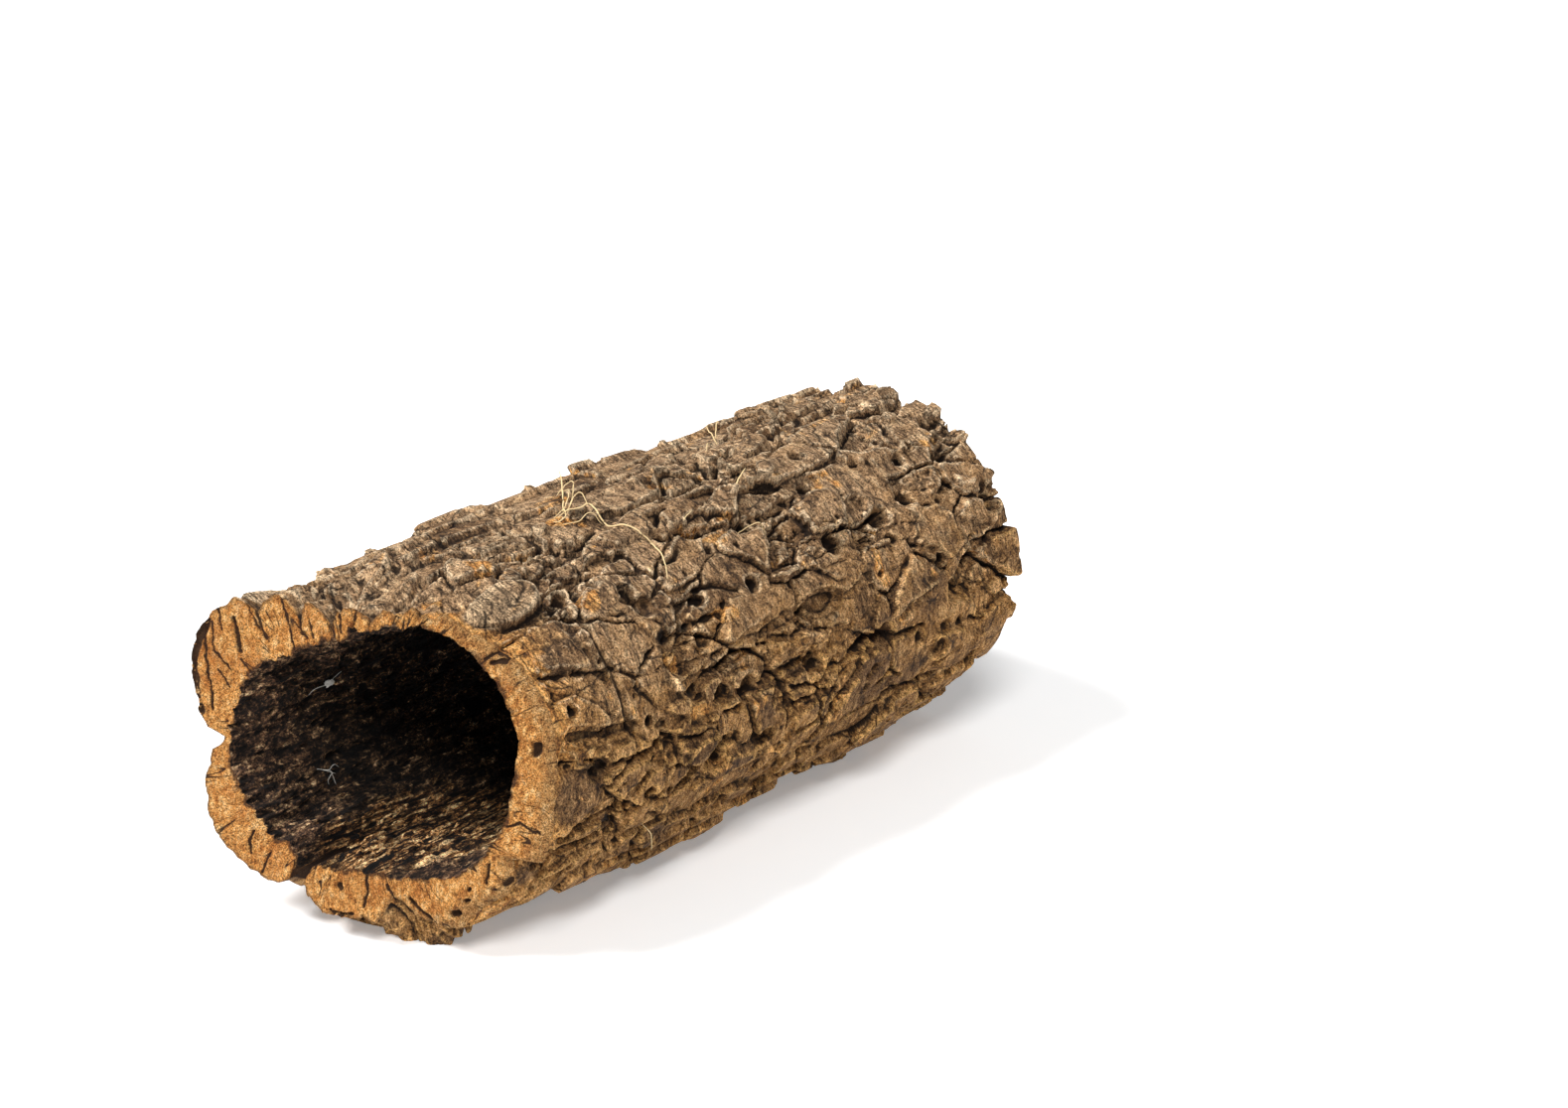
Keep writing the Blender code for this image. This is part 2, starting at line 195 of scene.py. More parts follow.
# %% [markdown]
# ## Marks that can be seen in the photograph
# Random relief gives the character of bark, but a likeness needs the marks that the eye goes back to: the
# long furrows, the splits, the dark holes, the smooth plates and the lumps that the tube lies on. They are
# short lists, each a place and a size, so that any of them can be moved by hand.

# %% Furrows, pits, plates and lumps
FURROWS = (
    # depth, half width, then the (degrees, along) points that it follows
    (0.008, 0.005, ((53, 0.044), (54, 0.065), (55, 0.090), (54, 0.115), (56, 0.140))),
    (0.009, 0.006, ((15, 0.064), (12, 0.090), (10, 0.122), (7, 0.150), (6, 0.240), (8, 0.300))),
    (0.015, 0.006, ((181, 0.000), (180, 0.045), (184, 0.100), (181, 0.170))),
    (0.016, 0.007, ((246, 0.000), (248, 0.050), (243, 0.110), (246, 0.160))),
    (0.007, 0.005, ((334, 0.040), (338, 0.090), (333, 0.150), (336, 0.210))),
    (0.006, 0.004, ((28, 0.060), (36, 0.064), (45, 0.060))),
    (0.006, 0.004, ((20, 0.111), (28, 0.110), (38, 0.104), (51, 0.108))),
)
PITS = (
    # degrees, along, half width, half length, depth
    (48, 0.172, 0.011, 0.006, 0.012),
    (31, 0.177, 0.005, 0.008, 0.009),
    (31, 0.204, 0.004, 0.007, 0.009),
    (31, 0.221, 0.003, 0.009, 0.008),
    (8, 0.214, 0.007, 0.010, 0.012),
    (11, 0.188, 0.005, 0.008, 0.009),
    (346, 0.261, 0.007, 0.010, 0.011),
    (3, 0.083, 0.007, 0.009, 0.012),
    (117, 0.052, 0.003, 0.004, 0.005),
    (109, 0.043, 0.005, 0.004, 0.007),
    (349, 0.080, 0.004, 0.005, 0.007),
    (340, 0.104, 0.006, 0.007, 0.008),
    (343, 0.057, 0.004, 0.006, 0.006),
    (15, 0.024, 0.003, 0.003, 0.008),
    (20, 0.330, 0.012, 0.020, 0.013),
)
PLATES = (
    # degrees, along, half width, half length, lift, how far its edge stands up
    (64, 0.082, 0.020, 0.033, 0.003, -0.004),
    (358, 0.059, 0.019, 0.029, -0.002, 0.004),
    (353, 0.188, 0.011, 0.019, -0.004, 0.003),
)
LUMPS = (
    # degrees, along, half width, half length, height
    (286, 0.012, 0.026, 0.026, 0.024),
    (253, 0.070, 0.030, 0.040, 0.008),
    (255, 0.450, 0.035, 0.050, 0.006),
    (288, 0.470, 0.030, 0.045, 0.006),
    (128, 0.080, 0.050, 0.060, 0.009),
    (122, 0.210, 0.060, 0.070, 0.005),
    (122, 0.340, 0.060, 0.110, 0.007),
    (315, 0.120, 0.040, 0.055, 0.007),
    (307, 0.230, 0.045, 0.055, 0.015),
    (303, 0.400, 0.045, 0.060, 0.008),
)
print(len(FURROWS), "furrows,", len(PITS), "pits,", len(PLATES), "smooth plates and", len(LUMPS), "lumps")

# %% [markdown]
# ## Noise that closes round a tube
# Noise read from the two numbers of a place would tear where the angle jumps from 360 back to 0. So each
# place is first bent onto a cylinder in noise space. Its sizes are stretched there too: bark forms are narrow
# across and long along the limb. Every form has a seed of its own, so that no two of them fall in step.
# Arrays are used throughout, which keeps half a million points to seconds. Each step prints how far its
# forms reach at a few sample places, to be judged beside a real piece of bark.

# %% Noise and cells on the bark
CELL_LOOKS_APART = 7.31


def bark_places(turn, along, across_size, along_size, seed):
    """Points in noise space, where features come out across_size wide and along_size long."""
    return np.stack((
        MEAN_RADIUS * np.cos(turn) / across_size + seed,
        along / along_size - seed,
        MEAN_RADIUS * np.sin(turn) / across_size,
    ), axis=-1)


def noise_on(turn, along, across_size, along_size, seed, read=noise.noise):
    """Noise over the bark, from about -1 to 1, read with a function that takes a point."""
    places = bark_places(turn, along, across_size, along_size, seed)
    values = [read(place) for place in places.reshape(-1, 3).tolist()]
    return np.array(values).reshape(turn.shape)


def fractal(place):
    """Noise with three ever smaller noises added to it."""
    return noise.fractal(place, 0.9, 2.1, 4)


def creases(place):
    """Round humps with sharp creases between, from 0 in the creases to about 1."""
    return noise.turbulence(place, 2, True)


def crumbled(place):
    """Crumbs of four sizes with creases between, from 0 in the creases to a little over 1."""
    return noise.turbulence(place, 4, True, noise_basis="PERLIN_ORIGINAL", amplitude_scale=0.55,
                            frequency_scale=2.1)


def cells_on(turn, along, across_size, along_size, seed):
    """Cells over the bark. Gives the distances to the nearest two centres, three random looks for each cell,
    and how far the place is from the centre round the tube, along it and outwards."""
    places = bark_places(turn, along, across_size, along_size, seed).reshape(-1, 3)
    cells = [noise.voronoi(place) for place in places.tolist()]
    nearest = np.array([distances[:2] for distances, centres in cells]).T
    centres = np.array([centres[0] for distances, centres in cells])
    looks = np.array([noise.cell_vector(centre) for centre in (CELL_LOOKS_APART * centres).tolist()]).T
    x, y, z = (places - centres).T
    cosine, sine = np.cos(turn.ravel()), np.sin(turn.ravel())
    offsets = np.array((z * cosine - x * sine, y, x * cosine + z * sine))
    return [part.reshape(-1, *turn.shape) for part in (nearest, looks, offsets)]


def say_span(what, field):
    """Prints how far a field of metres runs over its places."""
    lowest, highest = (round(1000 * float(end), 1) for end in (field.min(), field.max()))
    print(what, "runs from", lowest, "to", highest, "mm")


sample = np.meshgrid(np.radians(np.arange(0, 360, 15)), np.linspace(0.05, 0.50, 10))
print("noise is read at", sample[0].size, "sample places")

# %% Distances over the bark


def smooth(low, high, value):
    """0 below low, 1 above high, and an even ease between."""
    share = np.clip((value - low) / (high - low), 0, 1)
    return share * share * (3 - 2 * share)


def arc_between(turn, degrees):
    """How far each angle is from one given in degrees, in metres round the bark."""
    return np.radians((np.degrees(turn) - degrees + 180) % 360 - 180) * MEAN_RADIUS


def distance_to_line(turn, along, points):
    """How far each place is from a line through (degrees, along) points, in metres."""
    nearest = np.full(turn.shape, np.inf)
    for (degrees, start), (next_degrees, end) in zip(points, points[1:]):
        across = arc_between(turn, degrees)
        run_across = math.radians(next_degrees - degrees) * MEAN_RADIUS
        run_along = end - start
        share = (across * run_across + (along - start) * run_along) / (run_across**2 + run_along**2)
        share = np.clip(share, 0, 1)
        gap = np.hypot(across - share * run_across, along - start - share * run_along)
        nearest = np.minimum(nearest, gap)
    return nearest


def ellipse_distance(turn, along, mark):
    """Distance from a mark's middle, where 1 is on its edge."""
    degrees, middle, half_width, half_length = mark[:4]
    return np.hypot(arc_between(turn, degrees) / half_width, (along - middle) / half_length)


def spot(turn, along, mark, sharpness=4):
    """1 in a mark's middle and 0 well outside it, with a steeper edge where sharpness is higher."""
    return np.exp(-ellipse_distance(turn, along, mark) ** sharpness)


print("one degree is", round(1000 * float(arc_between(math.radians(1), 0)), 1), "mm round the bark")

# %% [markdown]
# ## The large relief
# Bark splits because the limb inside it grows. Long furrows open first, then cross cracks part the ridges
# into plates, and each plate lifts and tilts by itself. The same steps are layers here: a slow swell,
# furrows where a noise crosses zero, cells for the plates, then rough and creased ground on all of it. None
# of it may run straight, so every form is read from a place that has wandered and been shaken a little.
# Bark isn't equally broken all over. Two broad calm areas low on the right side are listed and noise adds
# more, and in them these forms sink to about half.

# %% Swells, furrows, plates and creases
SWELL, SWELL_WIDTH, SWELL_LENGTH = 0.007, 0.060, 0.20
FURROW_DEPTH, FURROW_GAP, FURROW_LENGTH, FURROW_SHARE = 0.009, 0.042, 0.17, 0.10
PLATE_LIFT, PLATE_WIDTH, PLATE_LENGTH = 0.0055, 0.034, 0.050
PLATE_TILT_ROUND, PLATE_TILT_ALONG = 1.2, 1.6
CRACK_DEPTH, CRACK_SHARE, CRACK_AREA = 0.008, 0.08, 0.05
ROUGH, ROUGH_WIDTH, ROUGH_LENGTH = 0.0018, 0.028, 0.042
CREASE, CREASE_WIDTH, CREASE_LENGTH, CREASE_MIDDLE = 0.0050, 0.048, 0.085, 0.5
WANDER_ROUND, WANDER_ALONG, WANDER_SIZE = 0.020, 0.020, 0.12
SHAKE, SHAKE_SIZE = 0.0024, 0.014
CALM_WIDTH, CALM_LENGTH, CALM_SHARE = 0.055, 0.090, 0.55
CALM_PLACES = (
    # broad calm areas: degrees, along, half width, half length
    (326, 0.140, 0.050, 0.120),
    (318, 0.340, 0.045, 0.090),
)


def plates_on(turn, along, across_size, along_size, seed):
    """Bark plates: how high each one stands, from about -1 to 1, and 1 in the cracks between."""
    nearest, looks, offsets = cells_on(turn, along, across_size, along_size, seed)
    level, lean_round, lean_along = 2 * looks - 1
    tilt_round = PLATE_TILT_ROUND * lean_round * offsets[0]
    tilt_along = PLATE_TILT_ALONG * lean_along * offsets[1]
    lift = level + tilt_round + tilt_along
    crack = np.exp(-(((nearest[1] - nearest[0]) / CRACK_SHARE) ** 2))
    return lift, crack


def ragged(turn, along):
    """Places shaken by a few millimetres, so that edges made from them come out ragged."""
    round_the_tube = noise_on(turn, along, SHAKE_SIZE, SHAKE_SIZE, 31, fractal)
    along_it = noise_on(turn, along, SHAKE_SIZE, SHAKE_SIZE, 37, fractal)
    return turn + SHAKE / MEAN_RADIUS * round_the_tube, along + SHAKE * along_it


def calm_at(turn, along):
    """1 where the bark is calm and 0 where it is broken."""
    noisy = smooth(-0.10, 0.25, noise_on(turn, along, CALM_WIDTH, CALM_LENGTH, 83))
    by_hand = sum(spot(turn, along, place) for place in CALM_PLACES)
    return np.clip(noisy + by_hand, 0, 1)


def grown_relief(turn, along):
    """The bark's own swells, furrows, plates and creases, in metres above its mean surface."""
    turned = turn + WANDER_ROUND / MEAN_RADIUS * noise_on(turn, along, WANDER_SIZE, WANDER_SIZE, 3)
    slid = along + WANDER_ALONG * noise_on(turn, along, WANDER_SIZE, WANDER_SIZE, 8)
    swell = noise_on(turned, slid, SWELL_WIDTH, SWELL_LENGTH, 1)
    lane = noise_on(turned, slid, FURROW_GAP, FURROW_LENGTH, 12)
    furrow = np.exp(-((lane / FURROW_SHARE) ** 2))
    lift, crack = plates_on(turned, slid, PLATE_WIDTH, PLATE_LENGTH, 5)
    open_here = smooth(-0.35, 0.25, noise_on(turned, slid, CRACK_AREA, CRACK_AREA, 15))
    rough = noise_on(turn, along, ROUGH_WIDTH, ROUGH_LENGTH, 43, fractal)
    humps = noise_on(turn, along, CREASE_WIDTH, CREASE_LENGTH, 47, creases) - CREASE_MIDDLE
    broken = ROUGH * rough + CREASE * humps + PLATE_LIFT * lift
    cut = FURROW_DEPTH * furrow + CRACK_DEPTH * open_here * crack
    return SWELL * swell + (broken - cut) * (1 - CALM_SHARE * calm_at(turn, along))


say_span("the grown relief", grown_relief(*sample))

# %% [markdown]
# ## Marks and layers
# The marks of the lists go on top of what grew. After that the height is cut into layers. Cork is laid
# down in yearly sheets, and where it wears or is knocked off, it breaks along them and leaves small ledges.

# %% Work in the marks, then cut the height into layers
LAYER, LAYER_FLATNESS, LAYER_END = 0.0058, 0.85, 0.80
# a smooth plate is whole inside the first of these shares of its size and ends at the second
PLATE_INSIDE, PLATE_END = 0.80, 1.05
PLATE_EDGE_WIDTH, PLATE_SMOOTHNESS = 0.12, 0.85
FURROW_CLOSING = 0.6


def on_plate(turn, along, plate):
    """1 on a smooth plate and 0 off it."""
    return 1 - smooth(PLATE_INSIDE, PLATE_END, ellipse_distance(turn, along, plate))


def marked_relief(turn, along, relief):
    """The relief with the plates, lumps, furrows and pits of the lists worked into it."""
    for plate in PLATES:
        inside = on_plate(turn, along, plate)
        edge = np.exp(-(((ellipse_distance(turn, along, plate) - PLATE_END) / PLATE_EDGE_WIDTH) ** 2))
        relief = relief * (1 - PLATE_SMOOTHNESS * inside) + plate[4] * inside + plate[5] * edge
    for lump in LUMPS:
        relief = relief + lump[4] * spot(turn, along, lump, 2)
    for depth, half_width, points in FURROWS:
        off = distance_to_line(turn, along, points) / half_width
        fades = 1 - FURROW_CLOSING * smooth(0, points[-1][1], along)
        relief = relief - depth * fades * np.exp(-(off**2))
    for pit in PITS:
        relief = relief - pit[4] * spot(turn, along, pit)
    return relief


def in_layers(height, layer=LAYER, flatness=LAYER_FLATNESS, end=LAYER_END):
    """A height cut into layers with steep ends, as where worn bark breaks off."""
    level = height / layer
    part = level - np.floor(level)
    return height + flatness * layer * (smooth(end, 1, part) - part)


say_span("marked and in layers, it", in_layers(marked_relief(*sample, grown_relief(*sample))))

# %% [markdown]
# ## The small relief
# Close up the plates are broken again: thin sheets end in little steps, cracks run across them, old flakes
# curl up into lips, and holes open where the cork crumbled out. These forms are 2 to 15 mm across, too many
# to place by hand and too large to leave to bump, which would not show on the outline. They aren't spread
# evenly. Some areas a hand wide are nearly calm and others are all broken, and that difference is what keeps
# bark from looking like a pattern. Only the slits that show plainly in the photograph are a list.

# %% Sizes of the small forms
THIN_LAYER, THIN_FLATNESS, THIN_END = 0.0017, 0.75, 0.84
SMALL_CALM_SHARE = 0.85
CRACKS = (
    # depth, width across and along of the noise that they follow, seed
    (0.0036, 0.034, 0.012, 53),
    (0.0036, 0.012, 0.048, 57),
)
CRACK_LINE, CRACKED_AREA = 0.060, 0.032
LIP, LIP_GAP, LIP_LENGTH, LIP_STEEP, LIP_GENTLE = 0.0024, 0.026, 0.055, 0.05, 0.28
LIP_AREA_WIDTH, LIP_AREA_LENGTH = 0.045, 0.060
HOLES = (
    # depth, gap between them, radius as a share of the gap, share of places that have one, seed
    (0.0140, 0.036, 0.19, 0.60, 61),
    (0.0060, 0.018, 0.16, 0.30, 67),
)
HOLE_CENTRE_REACH = 0.3
SLIT_DEPTH, SLIT_HALF_WIDTH = 0.0050, 0.0019
SLITS = (
    # the (degrees, along) points of each
    ((73, 0.101), (65, 0.103), (61, 0.088)),
    ((64, 0.066), (58, 0.058), (54, 0.050)),
    ((76, 0.162), (67, 0.162), (58, 0.154)),
    ((76, 0.179), (76, 0.187), (78, 0.201)),
    ((53, 0.220), (53, 0.228), (55, 0.238)),
    ((41, 0.227), (39, 0.245), (35, 0.260)),
    ((75, 0.334), (75, 0.345), (77, 0.362)),
    ((68, 0.242), (71, 0.251), (73, 0.264)),
    ((47, 0.164), (44, 0.170), (40, 0.174)),
    ((36, 0.177), (34, 0.180), (30, 0.183)),
    ((4, 0.118), (358, 0.124)),
    ((343, 0.105), (333, 0.122)),
    ((353, 0.243), (345, 0.253)),
    ((341, 0.136), (336, 0.155)),
    ((327, 0.141), (322, 0.150)),
)
print(len(CRACKS), "kinds of crack,", len(HOLES), "sizes of hole and", len(SLITS), "slits")

# %% Thin layers, cracks, lips, holes and slits


def slits_at(turn, along):
    """1 in the slits of the list and 0 off them."""
    lines = [distance_to_line(turn, along, points) for points in SLITS]
    return np.exp(-((np.minimum.reduce(lines) / SLIT_HALF_WIDTH) ** 2))


def cracks_at(turn, along):
    """How deep the thin cracks go, in metres. They come and go over the bark."""
    depths = 0
    for depth, across_size, along_size, seed in CRACKS:
        off = noise_on(turn, along, across_size, along_size, seed) / CRACK_LINE
        here = smooth(0.0, 0.35, noise_on(turn, along, CRACKED_AREA, CRACKED_AREA, seed + 1))
        depths = depths + depth * here * np.exp(-(off**2))
    return depths


def lips_at(turn, along):
    """How far the lips of old flakes stand up, in metres: steep on one side and gentle on the other."""
    lane = noise_on(turn, along, LIP_GAP, LIP_LENGTH, 91)
    here = smooth(-0.20, 0.25, noise_on(turn, along, LIP_AREA_WIDTH, LIP_AREA_LENGTH, 92))
    return LIP * here * np.exp(-np.abs(lane) / np.where(lane > 0, LIP_STEEP, LIP_GENTLE))


def holes_at(turn, along):
    """How deep the holes go, in metres."""
    depths = 0
    for depth, gap, radius, share, seed in HOLES:
        _, looks, offsets = cells_on(turn, along, gap, gap, seed)
        off = np.hypot(offsets[0], offsets[1]) / (radius * (0.5 + looks[1]))
        # a cell whose centre lies well above or below the surface makes no hole
        here = (looks[0] < share) * (np.abs(offsets[2]) < HOLE_CENTRE_REACH)
        depths = depths + depth * (0.5 + 0.5 * looks[2]) * here * np.exp(-(off**5))
    return depths


def small_relief(turn, along, layered):
    """What the small forms add to the layered relief, in metres."""
    thin = in_layers(layered, THIN_LAYER, THIN_FLATNESS, THIN_END) - layered
    broken = (thin - cracks_at(turn, along)) * (1 - SMALL_CALM_SHARE * calm_at(turn, along))
    return broken + lips_at(turn, along) - holes_at(turn, along) - SLIT_DEPTH * slits_at(turn, along)


say_span("the small relief", small_relief(*sample, grown_relief(*sample)))

# %% [markdown]
# ## Radius of the bark and of the hollow
# The skin is a radius for every angle and length. Far from the near cut it is an oval with the relief on it.
# Close to the cut it eases into the outline of the section, and the relief quietens down just behind the
# saw, over a longer way on the right, where the edge has been worn round. The hollow has ridges, strands and
# clots of its own, a ledge of old skin at its upper left, and a torn edge round its mouth. Bark and hollow
# are two such surfaces, and the wall between them is never let go thinner than a few millimetres.

# %% Radii
BARK_FADE, WORN_FADE = 0.008, 0.008
WORN_MIDDLE = 5
RIM_CALM, PLATE_CALM, SMALL_AT_CUT = 0.25, 0.75, 0.3
RIM_TEAR, RIM_TEAR_SIZE = 0.0026, 0.011
TEAR_LENGTH = 0.03
HOLLOW_FADE = 0.03
RIDGE, RIDGE_WIDTH, RIDGE_LENGTH = 0.005, 0.032, 0.14
FIBRE, FIBRE_WIDTH, FIBRE_LENGTH = 0.0025, 0.012, 0.10
CLOT, CLOT_WIDTH, CLOT_LENGTH, CLOT_MIDDLE = 0.0080, 0.022, 0.030, 0.6
FLAKE, FLAKE_FLATNESS = 0.0026, 0.75
STRAND, STRAND_WIDTH, STRAND_LENGTH, STRAND_AT_MOUTH = 0.0018, 0.0045, 0.024, 0.4
MOUTH_TEAR, MOUTH_TEAR_SIZE, MOUTH_TEAR_WORN = 0.0048, 0.009, 0.6
LEDGE = ((158, 0.060), (146, 0.042), (130, 0.040), (112, 0.036), (94, 0.044))
LEDGE_HEIGHT, LEDGE_WIDTH = 0.007, 0.011


def worn_share(turn):
    """1 on the right side, where the edge of the cut is worn round, and 0 where it is sharp."""
    return smooth(0.1, 0.7, np.cos(turn - math.radians(WORN_MIDDLE)))


def oval(turn, half_width, half_height):
    """The radius of an ellipse at each angle."""
    return 1 / np.hypot(np.cos(turn) / half_width, np.sin(turn) / half_height)


def outline(points, turn):
    """The radius of a closed outline of (degrees, radius) points at each angle."""
    degrees, radii = zip(*points)
    return np.interp(np.degrees(turn) % 360, degrees, radii, period=360)


def bark_radius(turn, along, from_cut):
    """The bark's distance from the axis. from_cut is the distance behind the near cut."""
    below = smooth(0.3, 0.8, -np.sin(turn))
    reach = RIM_REACH + (RIM_REACH_BELOW - RIM_REACH) * below
    at_rim = 1 - smooth(0, 1, from_cut / reach)
    body = oval(turn, HALF_WIDTH, HALF_HEIGHT)
    body = body + (outline(NEAR_RIM, turn) - body) * at_rim
    shown = smooth(0, BARK_FADE + WORN_FADE * worn_share(turn), from_cut) * (1 - RIM_CALM * at_rim)
    shaken = ragged(turn, along)
    relief = marked_relief(turn, along, grown_relief(*shaken))
    rough_here = 1 - PLATE_CALM * sum(on_plate(turn, along, plate) for plate in PLATES)
    layered = relief + rough_here * (in_layers(relief) - relief)
    small = rough_here * small_relief(*shaken, layered)
    torn = RIM_TEAR * at_rim * noise_on(turn, along, RIM_TEAR_SIZE, TEAR_LENGTH, 87, fractal)
    return body + shown * layered + small * (SMALL_AT_CUT + (1 - SMALL_AT_CUT) * shown) + torn


def hollow_radius(turn, along, from_cut):
    """The hollow's distance from the axis."""
    at_rim = 1 - smooth(0, 2 * RIM_REACH, from_cut)
    body = oval(turn, HOLLOW_HALF_WIDTH, HOLLOW_HALF_HEIGHT)
    body = body + (outline(NEAR_HOLLOW, turn) - body) * at_rim
    shown = smooth(0, HOLLOW_FADE, from_cut)
    ridges = RIDGE * noise_on(turn, along, RIDGE_WIDTH, RIDGE_LENGTH, 21)
    fibres = FIBRE * noise_on(turn, along, FIBRE_WIDTH, FIBRE_LENGTH, 27)
    strands = STRAND * noise_on(turn, along, STRAND_WIDTH, STRAND_LENGTH, 29, fractal)
    clots = CLOT * (noise_on(turn, along, CLOT_WIDTH, CLOT_LENGTH, 23, crumbled) - CLOT_MIDDLE)
    flaked = in_layers(ridges + fibres + clots, FLAKE, FLAKE_FLATNESS)
    torn_here = MOUTH_TEAR * (1 - MOUTH_TEAR_WORN * worn_share(turn))
    tear = torn_here * noise_on(turn, along, MOUTH_TEAR_SIZE, TEAR_LENGTH, 25, fractal)
    strands_here = STRAND_AT_MOUTH + (1 - STRAND_AT_MOUTH) * shown
    ledge = LEDGE_HEIGHT * np.exp(-((distance_to_line(*ragged(turn, along), LEDGE) / LEDGE_WIDTH) ** 4))
    return body + shown * (flaked - ledge) + strands_here * strands + (1 - shown) * tear


say_span("the wall", bark_radius(*sample, sample[1]) - hollow_radius(*sample, sample[1]))

# %% [markdown]
# ## Laying out the skin
# A tube with a thick wall is, to a mesh, the same as a ring: rows of points run down the bark, across the far
# cut, back up the hollow and across the near cut to where they began. Laid out like that it is closed by
# its own making, and every point knows which of the four faces it is on.

# %% Rows of points
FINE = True
COLUMNS = 720 if FINE else 480
BARK_STRIPS = 3
STRIP_ROWS = 135 if FINE else 90
BARK_ROWS = BARK_STRIPS * STRIP_ROWS
HOLLOW_ROWS = 135 if FINE else 90
NEAR_CUT_ROWS = 44 if FINE else 26
FAR_CUT_ROWS = 14
MOUTH_CROWDING = 1.5


def cut_place(slant, turn, radius):
    """How far along the axis a saw cut lies at each angle and radius."""
    right, top = (math.tan(math.radians(lean)) for lean in slant)
    return radius * (np.cos(turn) * right + np.sin(turn) * top)


def split_depth(turn):
    """How far the split takes the near cut back at each angle."""
    degrees, half_width, depth = SPLIT
    off = np.abs((np.degrees(turn) - degrees + 180) % 360 - 180)
    return depth * (1 - smooth(0.5 * half_width, half_width, off))


def wall_surface(radius_at, rim, rows, crowding=1):
    """Places along one face of the wall, from near cut to far one. Crowding packs rows at the near end."""
    turn = np.linspace(0, 2 * math.pi, COLUMNS, endpoint=False)
    cut = cut_place(NEAR_SLANT, turn, outline(rim, turn))
    near = cut + split_depth(turn)
    far = LENGTH + cut_place(FAR_SLANT, turn, MEAN_RADIUS)
    share = np.linspace(0, 1, rows + 1)[:, None] ** crowding
    along = near + (far - near) * share
    turns = np.broadcast_to(turn, along.shape)
    return turns, along, radius_at(turns, along, along - cut)


def placed(turn, along, radius):
    """The place in the world of an angle, a distance along and a radius."""
    x = AXIS_X + radius * np.cos(turn)
    y = AXIS_START + along
    z = AXIS_HEIGHT + radius * np.sin(turn)
    return np.stack((x, y, z), axis=-1)


turn, along, bark = wall_surface(bark_radius, NEAR_RIM, BARK_ROWS)
inner_turn, inner_along, hollow = wall_surface(hollow_radius, NEAR_HOLLOW, HOLLOW_ROWS, MOUTH_CROWDING)
row_match = HOLLOW_ROWS * np.linspace(0, 1, BARK_ROWS + 1) ** (1 / MOUTH_CROWDING)
hollow_by_bark = np.array([np.interp(row_match, range(HOLLOW_ROWS + 1), column) for column in hollow.T]).T
bark = np.maximum(bark, hollow_by_bark + THINNEST_WALL)
print("bark radius from", round(bark.min(), 3), "to", round(bark.max(), 3))

# %% [markdown]
# ## The sawn faces
# A saw leaves cork almost flat, but not clean: the grain tears, thin dark lines run out through the wall
# where the living bark once breathed, and old slits and worm holes are cut open. The thin lines are noise,
# read from the angle and the radius so that they run outwards. The slits and holes that show in the
# photograph are a list, like the marks on the bark. The right edge is worn round, and its first millimetres
# lean back.

